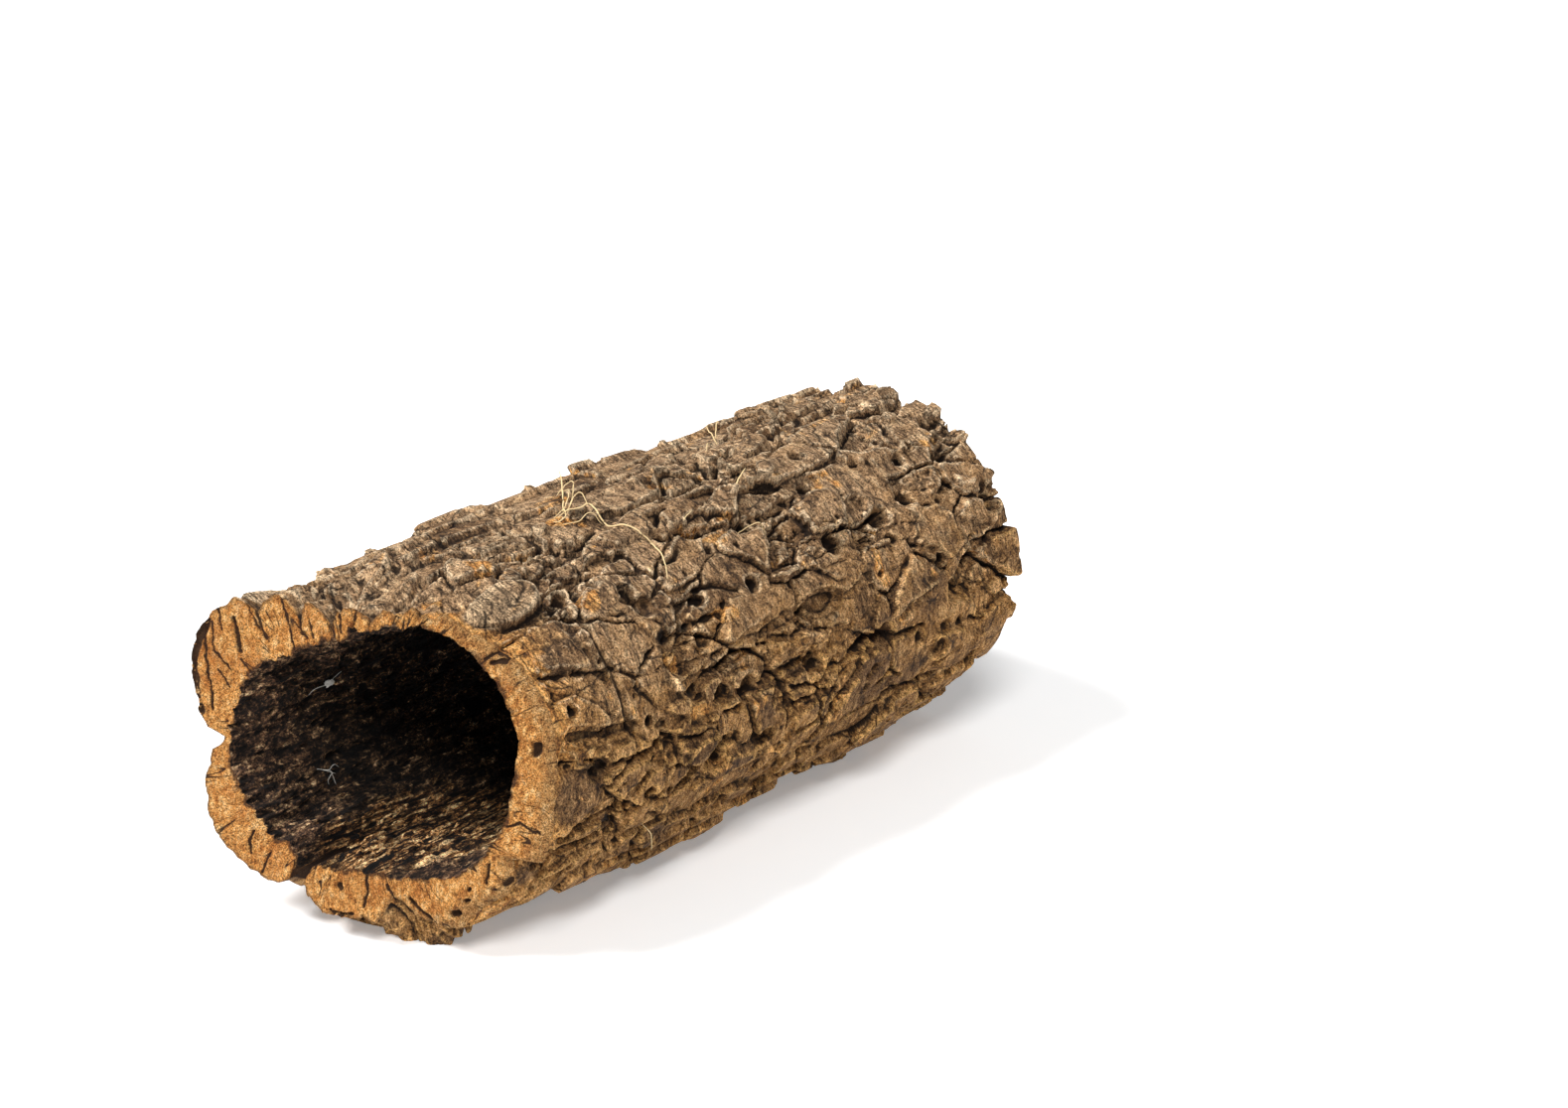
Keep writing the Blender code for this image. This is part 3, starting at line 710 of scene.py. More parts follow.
# %% Slits and holes in the near cut
CUT_MARKS = (
    # how dark, depth, half width, then the (degrees, radius) points that it follows
    (1.0, 0.0030, 0.0016, ((145, 0.139), (148, 0.129), (151, 0.121))),
    (0.8, 0.0012, 0.0009, ((129, 0.127), (131, 0.110), (134, 0.094))),
    (0.7, 0.0010, 0.0009, ((123, 0.106), (124, 0.093))),
    (0.8, 0.0010, 0.0009, ((146, 0.153), (150, 0.141))),
    (1.0, 0.0020, 0.0011, ((153, 0.151), (160, 0.139), (166, 0.128), (172, 0.122))),
    (0.7, 0.0010, 0.0009, ((153, 0.116), (154, 0.106))),
    (0.7, 0.0010, 0.0009, ((139, 0.142), (141, 0.120))),
    (0.7, 0.0010, 0.0009, ((160, 0.128), (163, 0.115))),
    (1.0, 0.0016, 0.0011, ((218, 0.097), (220, 0.103), (224, 0.107))),
    (0.5, 0.0012, 0.0007, ((75, 0.106), (76, 0.101), (78, 0.097))),
    (0.5, 0.0012, 0.0007, ((86, 0.103), (87, 0.097), (86, 0.092))),
    (0.5, 0.0012, 0.0007, ((97, 0.098), (98, 0.092))),
    (0.5, 0.0012, 0.0007, ((103, 0.104), (104, 0.094), (106, 0.090))),
    (0.5, 0.0012, 0.0007, ((115, 0.099), (116, 0.091))),
    (0.9, 0.0014, 0.0010, ((126, 0.110), (128, 0.100), (127, 0.095))),
    (0.9, 0.0014, 0.0011, ((138, 0.132), (140, 0.120), (141, 0.112))),
    (1.0, 0.0016, 0.0010, ((279, 0.072), (280, 0.084), (278, 0.094))),
    (1.0, 0.0030, 0.0022, ((265, 0.083), (266, 0.084))),
    (1.0, 0.0024, 0.0013, ((264, 0.101), (269, 0.102), (273, 0.100))),
    (1.0, 0.0035, 0.0018, ((299, 0.094), (301, 0.103), (303, 0.111))),
    (0.8, 0.0010, 0.0009, ((290, 0.080), (293, 0.096))),
    (1.0, 0.0040, 0.0016, ((322, 0.110), (322.5, 0.110))),
    (0.9, 0.0030, 0.0015, ((318, 0.114), (319, 0.115))),
    (1.0, 0.0045, 0.0025, ((312, 0.116), (313, 0.117))),
    (0.8, 0.0020, 0.0011, ((334, 0.110), (331, 0.113), (328, 0.115))),
    (0.9, 0.0020, 0.0028, ((151, 0.153), (156, 0.151), (162, 0.147), (168, 0.139), (174, 0.130))),
    (0.7, 0.0030, 0.0020, ((331, 0.125), (333, 0.126))),
    (1.0, 0.0030, 0.0015, ((46.5, 0.113), (45.5, 0.117), (44, 0.120))),
    (0.8, 0.0012, 0.0007, ((49.2, 0.111), (49, 0.115), (47.8, 0.118), (46, 0.1205), (44.2, 0.122))),
    (1.0, 0.0050, 0.0030, ((14, 0.123), (16, 0.124))),
    (0.9, 0.0020, 0.0022, ((242, 0.083), (243, 0.092), (244, 0.100))),
    (1.0, 0.0010, 0.0036, ((247, 0.078), (246, 0.088), (246, 0.092))),
    (0.8, 0.0010, 0.0009, ((150, 0.150), (156, 0.138), (158, 0.120))),
    (0.8, 0.0010, 0.0009, ((110, 0.104), (111, 0.090))),
    (0.8, 0.0010, 0.0009, ((232, 0.108), (229, 0.094))),
    (0.8, 0.0010, 0.0009, ((350, 0.132), (352, 0.118), (349, 0.110))),
)
STREAK_WIDTH, STREAK_LENGTH, STREAK_SHARE = 0.0050, 0.030, 0.07
STREAK_AREA_WIDTH, STREAK_AREA_LENGTH = 0.018, 0.022
STREAK_DARKNESS, STREAK_DEPTH = 0.75, 0.0006
MARK_SHAKE, MARK_SHAKE_SIZE = 0.0010, 0.0040
TORN, TORN_SIZE = 0.0009, 0.0032
ROUND_EDGE, ROUND_EDGE_WIDTH = 0.009, 0.009


def line_in_section(x, z, points):
    """How far places on the section are from a line through (degrees, radius) points."""
    corners = [(radius * math.cos(math.radians(turned)), radius * math.sin(math.radians(turned)))
               for turned, radius in points]
    nearest = np.full(x.shape, np.inf)
    for (from_x, from_z), (to_x, to_z) in zip(corners, corners[1:]):
        run_x, run_z = to_x - from_x, to_z - from_z
        share = np.clip(((x - from_x) * run_x + (z - from_z) * run_z) / (run_x**2 + run_z**2), 0, 1)
        nearest = np.minimum(nearest, np.hypot(x - from_x - share * run_x, z - from_z - share * run_z))
    return nearest


def streaks_at(turn, radius, seed):
    """1 in the thin dark lines that run outwards through the wall, and 0 between them."""
    lane = noise_on(turn, radius, STREAK_WIDTH, STREAK_LENGTH, seed)
    here = smooth(0.0, 0.35, noise_on(turn, radius, STREAK_AREA_WIDTH, STREAK_AREA_LENGTH, seed + 2))
    return here * np.exp(-((lane / STREAK_SHARE) ** 2))


print(len(CUT_MARKS), "marks on the near cut")

# %% Lay out both sawn faces


def sawn_rows(start, end, turn, rows, seed, marks=()):
    """Rows of points across a sawn face, how dark each one is, and how deep it lies."""
    shares = np.linspace(0, 1, rows + 1)[1:-1, None, None]
    points = start + (end - start) * shares
    x, z = points[..., 0] - AXIS_X, points[..., 2] - AXIS_HEIGHT
    radius = np.hypot(x, z)
    turns = np.broadcast_to(turn, radius.shape)
    dark = STREAK_DARKNESS * streaks_at(turns, radius, seed)
    deep = TORN * noise_on(turns, radius, TORN_SIZE, TORN_SIZE, seed + 1, fractal) + STREAK_DEPTH * dark
    shaken_x = x + MARK_SHAKE * noise_on(turns, radius, MARK_SHAKE_SIZE, MARK_SHAKE_SIZE, seed + 5)
    shaken_z = z + MARK_SHAKE * noise_on(turns, radius, MARK_SHAKE_SIZE, MARK_SHAKE_SIZE, seed + 6)
    for darkness, depth, half_width, line in marks:
        inside = np.exp(-((line_in_section(shaken_x, shaken_z, line) / half_width) ** 4))
        dark = np.maximum(dark, darkness * inside)
        deep = deep + depth * inside
    return points, dark, deep


def halved(row):
    """A closed row of points with one more in the middle of each gap."""
    return np.stack((row, (row + np.roll(row, -1, axis=0)) / 2), axis=1).reshape(-1, 3)


bark_points = placed(turn, along, bark)
hollow_points = placed(inner_turn, inner_along, hollow)[::-1]
worn_back = ROUND_EDGE * worn_share(turn) * np.exp(-(along - along[0]) / ROUND_EDGE_WIDTH)
bark_points[..., 1] += worn_back

fine_turn = np.linspace(0, 2 * math.pi, 2 * COLUMNS, endpoint=False)
inner_edge, outer_edge = halved(hollow_points[-1]), halved(bark_points[0])
far_points, far_dark, far_deep = sawn_rows(bark_points[-1], hollow_points[0], turn[0], FAR_CUT_ROWS, 71)
near_points, near_dark, near_deep = sawn_rows(inner_edge, outer_edge, fine_turn, NEAR_CUT_ROWS, 75, CUT_MARKS)
far_points[..., 1] -= far_deep
from_edge = np.linalg.norm(near_points - outer_edge, axis=-1)
# the rows run up to the bark's edge, which leans back already, so each row adds only what is left
leant_already = np.linspace(0, 1, NEAR_CUT_ROWS + 1)[1:-1, None]
worn_back = ROUND_EDGE * worn_share(fine_turn) * (np.exp(-from_edge / ROUND_EDGE_WIDTH) - leant_already)
near_points[..., 1] += near_deep + worn_back
print("the near face is", near_points.shape[0], "rows deep")

# %% [markdown]
# ## Standing it on the floor
# The lowest lumps are worn flat, and that is what stops the tube rolling. Any point that would sink under the
# floor is lifted to it, which leaves small flats exactly where the solid has them. The bark also leans a
# little towards the near end, the more the higher it stands, so that ledges hang over their gaps.

# %% Lean the ledges and flatten what is under the floor
LEAN = 0.35
LEAN_FADE = 0.03
LEAN_LOWEST, LEAN_HIGHEST = -0.015, 0.010
leant_here = smooth(0, LEAN_FADE, along - cut_place(NEAR_SLANT, turn, bark))
leant_here = leant_here * smooth(0, LEAN_FADE, along[-1] - along)
above_oval = bark - oval(turn, HALF_WIDTH, HALF_HEIGHT)
bark_points[..., 1] -= LEAN * leant_here * np.clip(above_oval, LEAN_LOWEST, LEAN_HIGHEST)
for points in (bark_points, far_points, hollow_points, near_points):
    points[..., 2] = np.maximum(points[..., 2], 0)
print(int((bark_points[..., 2] == 0).sum()), "points rest on the floor")

# %% [markdown]
# ## What each point knows about itself
# The colour of bark follows its shape: dark in the cracks, which is painted shade, pale on worn edges, partly
# rubbed wear and partly painted highlight, grey on top and brown beneath. A material can't see any of that,
# so it is measured here and stored on the points. Cracks are found by comparing the relief with a blurred
# copy of itself: what stands above it is an edge. The places where a flake came off or the bark is stained
# are lists, read from the photograph.

# %% Places where the bark is stripped or stained
STRIPPED = (
    # places where the outer bark is gone and orange cork shows: degrees, along, half width, half length
    (24, 0.175, 0.008, 0.009),
    (337, 0.221, 0.007, 0.009),
    (6, 0.188, 0.004, 0.013),
    (51, 0.140, 0.007, 0.007),
    (30, 0.238, 0.006, 0.010),
    (91, 0.196, 0.009, 0.010),
    (60, 0.262, 0.008, 0.012),
    (84, 0.105, 0.007, 0.009),
    (84, 0.056, 0.013, 0.008),
    (71, 0.046, 0.010, 0.007),
    (322, 0.115, 0.006, 0.013),
    (200, 0.180, 0.012, 0.018),
    (150, 0.330, 0.010, 0.016),
)
STAINED = (
    # places where the bark is a darker brown, in the same way
    (358, 0.059, 0.018, 0.028),
    (353, 0.188, 0.011, 0.017),
    (20, 0.242, 0.009, 0.022),
    (2, 0.275, 0.016, 0.032),
    (38, 0.083, 0.010, 0.016),
    (341, 0.105, 0.010, 0.012),
    (326, 0.170, 0.010, 0.024),
    (75, 0.300, 0.020, 0.030),
    (112, 0.150, 0.016, 0.034),
    (215, 0.280, 0.030, 0.060),
    (168, 0.430, 0.025, 0.050),
    # behind the upper-left teeth: partly a darker stain, partly painted shade behind the teeth
    (141, 0.018, 0.014, 0.018),
    (331, 0.030, 0.010, 0.018),
)
# the patch of the hollow's floor where light falls, which gets painted light over its own tan straws
LIT_TAN_FLOOR = (262, 0.065, 0.070, 0.085)
# the other pits are filled with painted shade; the last pit is wide and open to the light, so it keeps the
# bark's own colour
SHADED_PITS = PITS[:-1]
print(len(STRIPPED), "stripped places,", len(STAINED), "stained ones and", len(SHADED_PITS), "dark pits")

# %% Measure cracks, edges and the distance from the cuts
FRESH_BEHIND_CUT, FRESH_WHERE_WORN = 0.0016, 0.030
FINE_REACH, FINE_STEP = 0.004, 0.002
BROAD_REACH, BROAD_STEP = 0.012, 0.006


def softened(field, reach):
    """A field averaged over reach rows and columns each way, closed round the tube."""
    steps = range(-reach, reach + 1)
    field = sum(np.roll(field, step, axis=1) for step in steps) / len(steps)
    rows = np.arange(len(field))
    return sum(field[np.clip(rows + step, 0, len(field) - 1)] for step in steps) / len(steps)


def facts_of(points):
    """What can be told of any point from its place alone."""
    x, z = points[..., 0] - AXIS_X, points[..., 2] - AXIS_HEIGHT
    angle, distance = np.arctan2(z, x) % (2 * math.pi), points[..., 1] - AXIS_START
    behind_cut = distance - cut_place(NEAR_SLANT, angle, outline(NEAR_RIM, angle))
    shaken = ragged(angle, distance)
    fresh_depth = FRESH_BEHIND_CUT + FRESH_WHERE_WORN * worn_share(angle)
    pits = sum(spot(*shaken, pit) for pit in SHADED_PITS)
    return {
        "facing_up": np.sin(angle),
        "behind_cut": behind_cut,
        "fresh": np.exp(-np.maximum(behind_cut, 0) / fresh_depth),
        "grey_plate": on_plate(*shaken, PLATES[0]),
        # slits and pits, where the bark material paints shade
        "pit": slits_at(*shaken) + pits,
        "stripped": sum(spot(*shaken, mark, 2) for mark in STRIPPED),
        "stained": sum(spot(*shaken, mark) for mark in STAINED),
        # painted light: where light falls on the hollow's floor
        "lit_tan_floor": spot(angle, distance, LIT_TAN_FLOOR),
        # painted light: the ledge by the mouth that catches the light
        "lit_brown_ledge": np.exp(-((distance_to_line(*shaken, LEDGE) / LEDGE_WIDTH) ** 2)),
    }


def cut_facts(points, dark, inside, outside):
    """How far each point of a sawn face is from its two edges, and how dark its marks are."""
    return {
        "dark": dark,
        "worn": worn_share(np.arctan2(points[..., 2] - AXIS_HEIGHT, points[..., 0] - AXIS_X)),
        "from_inside": np.linalg.norm(points - inside, axis=-1),
        "from_outside": np.linalg.norm(points - outside, axis=-1),
    }


def edges_of(surface, reach, step):
    """How far a surface of radii stands above its own blurred copy, where step metres is 1."""
    return (surface - softened(surface, round(reach * BARK_ROWS / LENGTH))) / step


bark_facts = facts_of(bark_points)
bark_facts["fine_edge"] = edges_of(bark, FINE_REACH, FINE_STEP)
bark_facts["broad_edge"] = edges_of(bark, BROAD_REACH, BROAD_STEP)
near_facts = cut_facts(near_points, near_dark, inner_edge, outer_edge)
far_facts = cut_facts(far_points, far_dark, hollow_points[0], bark_points[-1])
hollow_facts = facts_of(hollow_points)
hollow_facts["fine_edge"] = edges_of(hollow, FINE_REACH, FINE_STEP)[::-1]
say_span("the bark over its blurred copy", FINE_STEP * bark_facts["fine_edge"])

# %% [markdown]
# ## From points to pieces
# The skin comes in pieces that meet point for point: three lengths of bark, the hollow and the two sawn
# faces. That keeps each mesh light enough to handle. Their normals are worked out from the whole face
# before it is parted, so that no seam shows where two lengths of bark meet.

# %% Build the pieces


def normals_of(points):
    """Outward normals of a grid of points that closes round the tube."""
    around = np.roll(points, -1, axis=1) - np.roll(points, 1, axis=1)
    onward = np.gradient(points, axis=0)
    normals = np.cross(onward, around)
    return normals / np.maximum(np.linalg.norm(normals, axis=-1, keepdims=True), 1e-12)


def skin(name, points, normals, facts, material):
    """A piece of skin from a grid of points, with its facts stored on them."""
    index = np.arange(points.shape[0] * points.shape[1]).reshape(points.shape[:2])
    nearer, further = index[:-1], index[1:]
    corners = np.stack((nearer, further, np.roll(further, -1, axis=1), np.roll(nearer, -1, axis=1)), axis=-1)
    mesh = bpy.data.meshes.new(name)
    mesh.from_pydata(points.reshape(-1, 3).tolist(), [], corners.reshape(-1, 4).tolist())
    for fact_name, values in facts.items():
        stored = mesh.attributes.new(fact_name, "FLOAT", "POINT")
        stored.data.foreach_set("value", values.ravel().astype(np.float32))
    mesh.shade_smooth()
    mesh.normals_split_custom_set_from_vertices(normals.reshape(-1, 3).tolist())
    mesh.materials.append(material)
    piece = bpy.data.objects.new(name, mesh)
    bpy.context.scene.collection.objects.link(piece)
    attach(piece, "root")
    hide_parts("cork_tube")
    print(name, "has", 2 * len(mesh.polygons), "triangles")


FINISHES = ("old_bark", "sawn_cork", "hollow_lit_and_shaded")
old_bark, sawn_cork, hollow_lit_and_shaded = (bpy.data.materials.new(name) for name in FINISHES)
bark_normals = normals_of(bark_points)
for strip, name in enumerate(("bark_near", "bark_middle", "bark_far")):
    rows = slice(strip * STRIP_ROWS, (strip + 1) * STRIP_ROWS + 1)
    facts = {fact_name: values[rows] for fact_name, values in bark_facts.items()}
    skin(name, bark_points[rows], bark_normals[rows], facts, old_bark)


def with_edges(start, points, end, facts):
    """A sawn face with the edge rows that it shares with its neighbours, and facts for those rows too."""
    facts = {name: np.concatenate((values[:1], values, values[-1:])) for name, values in facts.items()}
    return np.concatenate((start[None], points, end[None])), facts


near_face, near_facts = with_edges(inner_edge, near_points, outer_edge, near_facts)
far_face, far_facts = with_edges(bark_points[-1], far_points, hollow_points[0], far_facts)
skin("near_cut", near_face, normals_of(near_face), near_facts, sawn_cork)
skin("far_cut", far_face, normals_of(far_face), far_facts, sawn_cork)
skin("hollow", hollow_points, normals_of(hollow_points), hollow_facts, hollow_lit_and_shaded)

# %% [markdown]
# ## Small helpers for materials
# A material is a graph of nodes. Built in code it gets long fast, so a few helpers keep each step to one
# line: one adds a node and fills or joins its sockets by name, one reads a fact stored on the points, one
# does sums, one turns a value into colours, and two lay one colour over another or multiply it. Heights for
# the bump are kept in metres, so that each form's depth can be judged beside the real relief.

# %% Node helpers


def join(tree, value, socket):
    """Joins a socket to a value's own socket, or fills it with a plain value."""
    if isinstance(value, bpy.types.NodeSocket):
        tree.links.new(value, socket)
    else:
        socket.default_value = value


def add(tree, kind, output=0, **settings):
    """Adds a node and returns one of its outputs. A setting fills or joins a socket, or sets a property."""
    made = tree.nodes.new(kind)
    for name, value in settings.items():
        socket = made.inputs.get(name.replace("_", " "))
        if socket is None:
            setattr(made, name, value)
        else:
            join(tree, value, socket)
    return made.outputs[output]


def maths(tree, operation, first, second):
    """One operation on two values, by its name."""
    made = tree.nodes.new("ShaderNodeMath")
    made.operation = operation
    join(tree, first, made.inputs[0])
    join(tree, second, made.inputs[1])
    return made.outputs[0]


def total(tree, *terms):
    """The sum of (value, weight) terms."""
    summed = maths(tree, "MULTIPLY", *terms[0])
    for value, weight in terms[1:]:
        made = tree.nodes.new("ShaderNodeMath")
        made.operation = "MULTIPLY_ADD"
        for socket, part in zip(made.inputs, (value, weight, summed)):
            join(tree, part, socket)
        summed = made.outputs[0]
    return summed


def fact(tree, name):
    """Reads a fact that is stored on the points."""
    return add(tree, "ShaderNodeAttribute", "Fac", attribute_name=name)


def blend(tree, share, first, second, how="MIX"):
    """Two colours blended. share and either colour may be a socket."""
    made = tree.nodes.new("ShaderNodeMix")
    made.data_type = "RGBA"
    made.blend_type = how
    join(tree, share, made.inputs[0])
    for index, value in ((6, first), (7, second)):
        join(tree, value if isinstance(value, bpy.types.NodeSocket) else (*value, 1), made.inputs[index])
    return made.outputs[2]


def ramp(tree, value, *stops):
    """A value turned into colours by (place, colour) stops."""
    made = tree.nodes.new("ShaderNodeValToRGB")
    tree.links.new(value, made.inputs["Fac"])
    elements = made.color_ramp.elements
    while len(elements) < len(stops):
        elements.new(0.5)
    for element, (place, colour_code) in zip(elements, stops):
        element.position = place
        element.color = (*colour(colour_code), 1)
    return made.outputs["Color"]


def grey(tree, value, low, high, at_low=0.0, at_high=1.0):
    """A value spread so that low becomes at_low and high becomes at_high."""
    return add(tree, "ShaderNodeMapRange", Value=value, From_Min=low, From_Max=high,
               To_Min=at_low, To_Max=at_high)


def colour(code):
    """A colour written as six hexadecimal digits, in the linear values that shaders use."""
    parts = [int(code[i:i + 2], 16) / 255 for i in (0, 2, 4)]
    return tuple(part / 12.92 if part <= 0.04045 else ((part + 0.055) / 1.055) ** 2.4 for part in parts)


def over(tree, base, top, value, low, high, most=1.0):
    """A colour laid over a base: none where the value is low, and most where it is high."""
    return blend(tree, grey(tree, value, low, high, 0.0, most), base, top)


def times(tree, base, value, low, high, darkest, brightest):
    """A base darkened where the value is low and brightened where it is high."""
    return blend(tree, 1.0, base, grey(tree, value, low, high, darkest, brightest), "MULTIPLY")


print("an orange tan is", [round(part, 3) for part in colour("C98A45")], "in linear values")

# %% Textures in metres


def place_in(tree, size, stretch=(1, 1, 1)):
    """Places on the object, scaled so that one unit is size metres, or more where stretch is under 1."""
    place = add(tree, "ShaderNodeTexCoord", "Object")
    return add(tree, "ShaderNodeMapping", Vector=place, Scale=tuple(part / size for part in stretch))


def texture(tree, size, stretch=(1, 1, 1), detail=4.0, roughness=0.55, bend=0.0):
    """Noise whose forms are size metres across, longer along an axis where stretch is under 1."""
    place = place_in(tree, size, stretch)
    return add(tree, "ShaderNodeTexNoise", "Fac", Vector=place, Scale=1.0, Detail=detail, Roughness=roughness,
               Distortion=bend)


def crack_lines(tree, size, stretch, width):
    """1 on the thin lines between ragged cells of this size in metres, and 0 off them."""
    place = place_in(tree, size, stretch)
    shake = add(tree, "ShaderNodeTexNoise", "Color", Vector=place, Scale=1.7, Detail=4.0)
    shaken = blend(tree, 0.42, place, shake)
    edge = add(tree, "ShaderNodeTexVoronoi", "Distance", feature="DISTANCE_TO_EDGE", Vector=shaken, Scale=1.0)
    return grey(tree, edge, width, 0.0)


def flowing_lines(tree, gap, length, wander, wander_size):
    """Fine lines round the limb, this gap apart, that flow round invisible knots. About 0.5 on average."""
    place = add(tree, "ShaderNodeTexCoord", "Object")
    drift = add(tree, "ShaderNodeTexNoise", "Color", Vector=place, Scale=1 / wander_size, Detail=1.5)
    flowing = add(tree, "ShaderNodeVectorMath", operation="MULTIPLY_ADD", Vector=drift)
    sum_node = flowing.node
    sum_node.inputs[1].default_value = (0, wander, 0)
    tree.links.new(place, sum_node.inputs[2])
    fine = add(tree, "ShaderNodeMapping", Vector=flowing, Scale=(1 / length, 1 / gap, 1 / length))
    return add(tree, "ShaderNodeTexNoise", "Fac", Vector=fine, Scale=1.0, Detail=3.0, Roughness=0.6)


print("textures are ready: noise, crack lines and flowing lines")

# %% [markdown]
# ## Bark
# Old cork bark is grey-brown and dead matt. Its colour is built up layer over layer, the way weather and wear
# build it, with painted highlight on raised edges and painted shade in hollows and pits. First come the
# textures that the layers share, each with a real size: broad tones, patches a thumb wide, a mottle of
# several millimetres and a speckle of one. Fine lines run round the limb, two or three millimetres apart,
# where growth stopped and started, and thin cracks craze what lies between the real ones.

# %% Textures of the bark
DULL = 0.25


def shader_of(material):
    """A material's tree and its main shader, ready for nodes."""
    material.use_nodes = True
    shader = material.node_tree.nodes["Principled BSDF"]
    shader.inputs["Specular IOR Level"].default_value = DULL
    return material.node_tree, shader


tree, shader = shader_of(old_bark)
tones = texture(tree, 0.060, (1, 0.7, 1), detail=3.0, bend=0.8)
patches = texture(tree, 0.026, (1, 0.8, 1), detail=6.0, bend=0.6)
mottle = texture(tree, 0.0065, (0.6, 1, 0.6), detail=10.0, roughness=0.76, bend=0.6)
speckle = texture(tree, 0.0014, detail=4.0, roughness=0.8)
lines = flowing_lines(tree, gap=0.0022, length=0.020, wander=0.030, wander_size=0.045)
lined_here = total(tree, (patches, 1.0), (fact(tree, "facing_up"), 0.05), (fact(tree, "grey_plate"), 0.12))
lined_here = grey(tree, lined_here, 0.46, 0.55)
coarse_cracks = crack_lines(tree, 0.019, (1, 0.7, 1), 0.035)
cracked_here = grey(tree, texture(tree, 0.024, detail=2.0), 0.46, 0.60)
coarse_cracks = maths(tree, "MULTIPLY", coarse_cracks, cracked_here)
fine_cracks = crack_lines(tree, 0.0060, (0.8, 1.3, 0.8), 0.07)
fine_cracks = maths(tree, "MULTIPLY", fine_cracks, grey(tree, mottle, 0.54, 0.40))
print("the bark's textures take", len(tree.nodes), "nodes")

# %% [markdown]
# ### Ground and weather
# Rain and light bleach what faces up to a silvery grey, while the sides stay brown, and some plates are
# stained darker. How thickly each layer lies follows a sum of facts and noise instead of one fact, so that
# its border comes out ragged and never looks drawn.

# %% Ground colours of the bark
ground = ramp(tree, mottle, (0.30, "4C3018"), (0.43, "7E582C"), (0.54, "A3794A"), (0.68, "C8A06B"))
bleached = ramp(tree, mottle, (0.30, "4F3D2B"), (0.43, "886C50"), (0.54, "AB8D6C"), (0.68, "CDB38F"))
up = total(tree, (fact(tree, "facing_up"), 0.9), (patches, 1.4))
base = over(tree, ground, bleached, up, 0.75, 1.55, 0.85)
plate = total(tree, (fact(tree, "grey_plate"), 0.8), (mottle, 0.5))
base = over(tree, base, colour("D2B792"), plate, 0.75, 1.15, 0.60)
stain = total(tree, (tones, -1.0), (fact(tree, "stained"), 0.15), (mottle, -0.15))
dark = ramp(tree, mottle, (0.36, "2E1D10"), (0.50, "5C4128"), (0.64, "8E6C48"))
base = over(tree, base, dark, stain, -0.56, -0.44, 0.80)
print("with its ground colours it has", len(tree.nodes), "nodes")

# %% [markdown]
# ### Chips, rubbed edges and painted highlights
# Wherever a flake has broken off, and for a short way behind the saw, the orange cork shows. Edges that stand
# up are made pale, tan on the sides and greyer on top: partly rubbed wear and partly painted highlight. Both
# are found by what the points know, since paint put there by hand would have to be put there again after
# every change of the relief.

# %% Orange chips and pale edges
orange = ramp(tree, mottle, (0.34, "764620"), (0.44, "AC7238"), (0.54, "C89250"), (0.68, "DEB47C"))
chipped = total(tree, (patches, 1.0), (mottle, 0.35), (fact(tree, "stripped"), 0.45))
base = over(tree, base, orange, chipped, 0.79, 0.86, 0.9)
fresh = total(tree, (fact(tree, "fresh"), 1.0), (mottle, 0.8), (patches, 0.3),
              (fact(tree, "grey_plate"), -0.45), (fact(tree, "stained"), -0.5))
base = over(tree, base, orange, fresh, 0.70, 1.10, 0.95)
# raised edges made pale: partly rubbed wear, partly painted highlight
rubbed_and_highlit = total(tree, (fact(tree, "fine_edge"), 0.5), (mottle, 0.8), (patches, 0.6))
pale_wear_and_highlight = over(tree, colour("CF9F60"), colour("D0B592"), up, 0.75, 1.35)
base = over(tree, base, pale_wear_and_highlight, rubbed_and_highlit, 0.90, 1.28, 0.75)
print("with its chips and edges it has", len(tree.nodes), "nodes")

# %% [markdown]
# ### Lines, cracks and painted shade
# The darks come last, so that nothing pale lies over a crack. Growth lines and speckle multiply the colour,
# which leaves its hue alone. Hollows, pits and slits are then filled with painted shade, a brown that is
# nearly black, and the thin cracks are darkened with the same brown. The same lines and cracks make the bump,
# so that colour and light tell the same story.

# %% Lines, painted shade and bump of the bark
base = blend(tree, lined_here, base, times(tree, base, lines, 0.38, 0.56, 0.42, 1.28))
base = times(tree, base, speckle, 0.39, 0.60, 0.16, 1.78)
# painted shade: the broad hollows of the relief are darkened to a brown that is nearly black
broad_shade = total(tree, (fact(tree, "broad_edge"), -0.8), (mottle, -0.5))
base = over(tree, base, colour("2A180B"), broad_shade, 0.0, 0.8, 0.90)
# painted shade in the fine crevices of the bark
crevice_shade = total(tree, (fact(tree, "fine_edge"), -1.0), (mottle, -0.4))
base = over(tree, base, colour("1C1007"), crevice_shade, 0.1, 0.8, 0.9)
# painted shade: the pits and slits of the lists are filled with a brown that is nearly black
deep = total(tree, (fact(tree, "pit"), 1.0), (mottle, 0.6))
base = over(tree, base, colour("110904"), deep, 0.75, 1.35, 0.95)
cracks = maths(tree, "MAXIMUM", coarse_cracks, fine_cracks)
base = blend(tree, maths(tree, "MULTIPLY", cracks, 0.9), base, colour("1A0F07"))
mottle_height = grey(tree, fact(tree, "grey_plate"), 0.0, 1.0, 0.0028, 0.0010)
height = total(tree, (maths(tree, "MULTIPLY", lines, lined_here), 0.0014), (mottle, mottle_height),
               (speckle, 0.0013), (coarse_cracks, -0.0024), (fine_cracks, -0.0010))


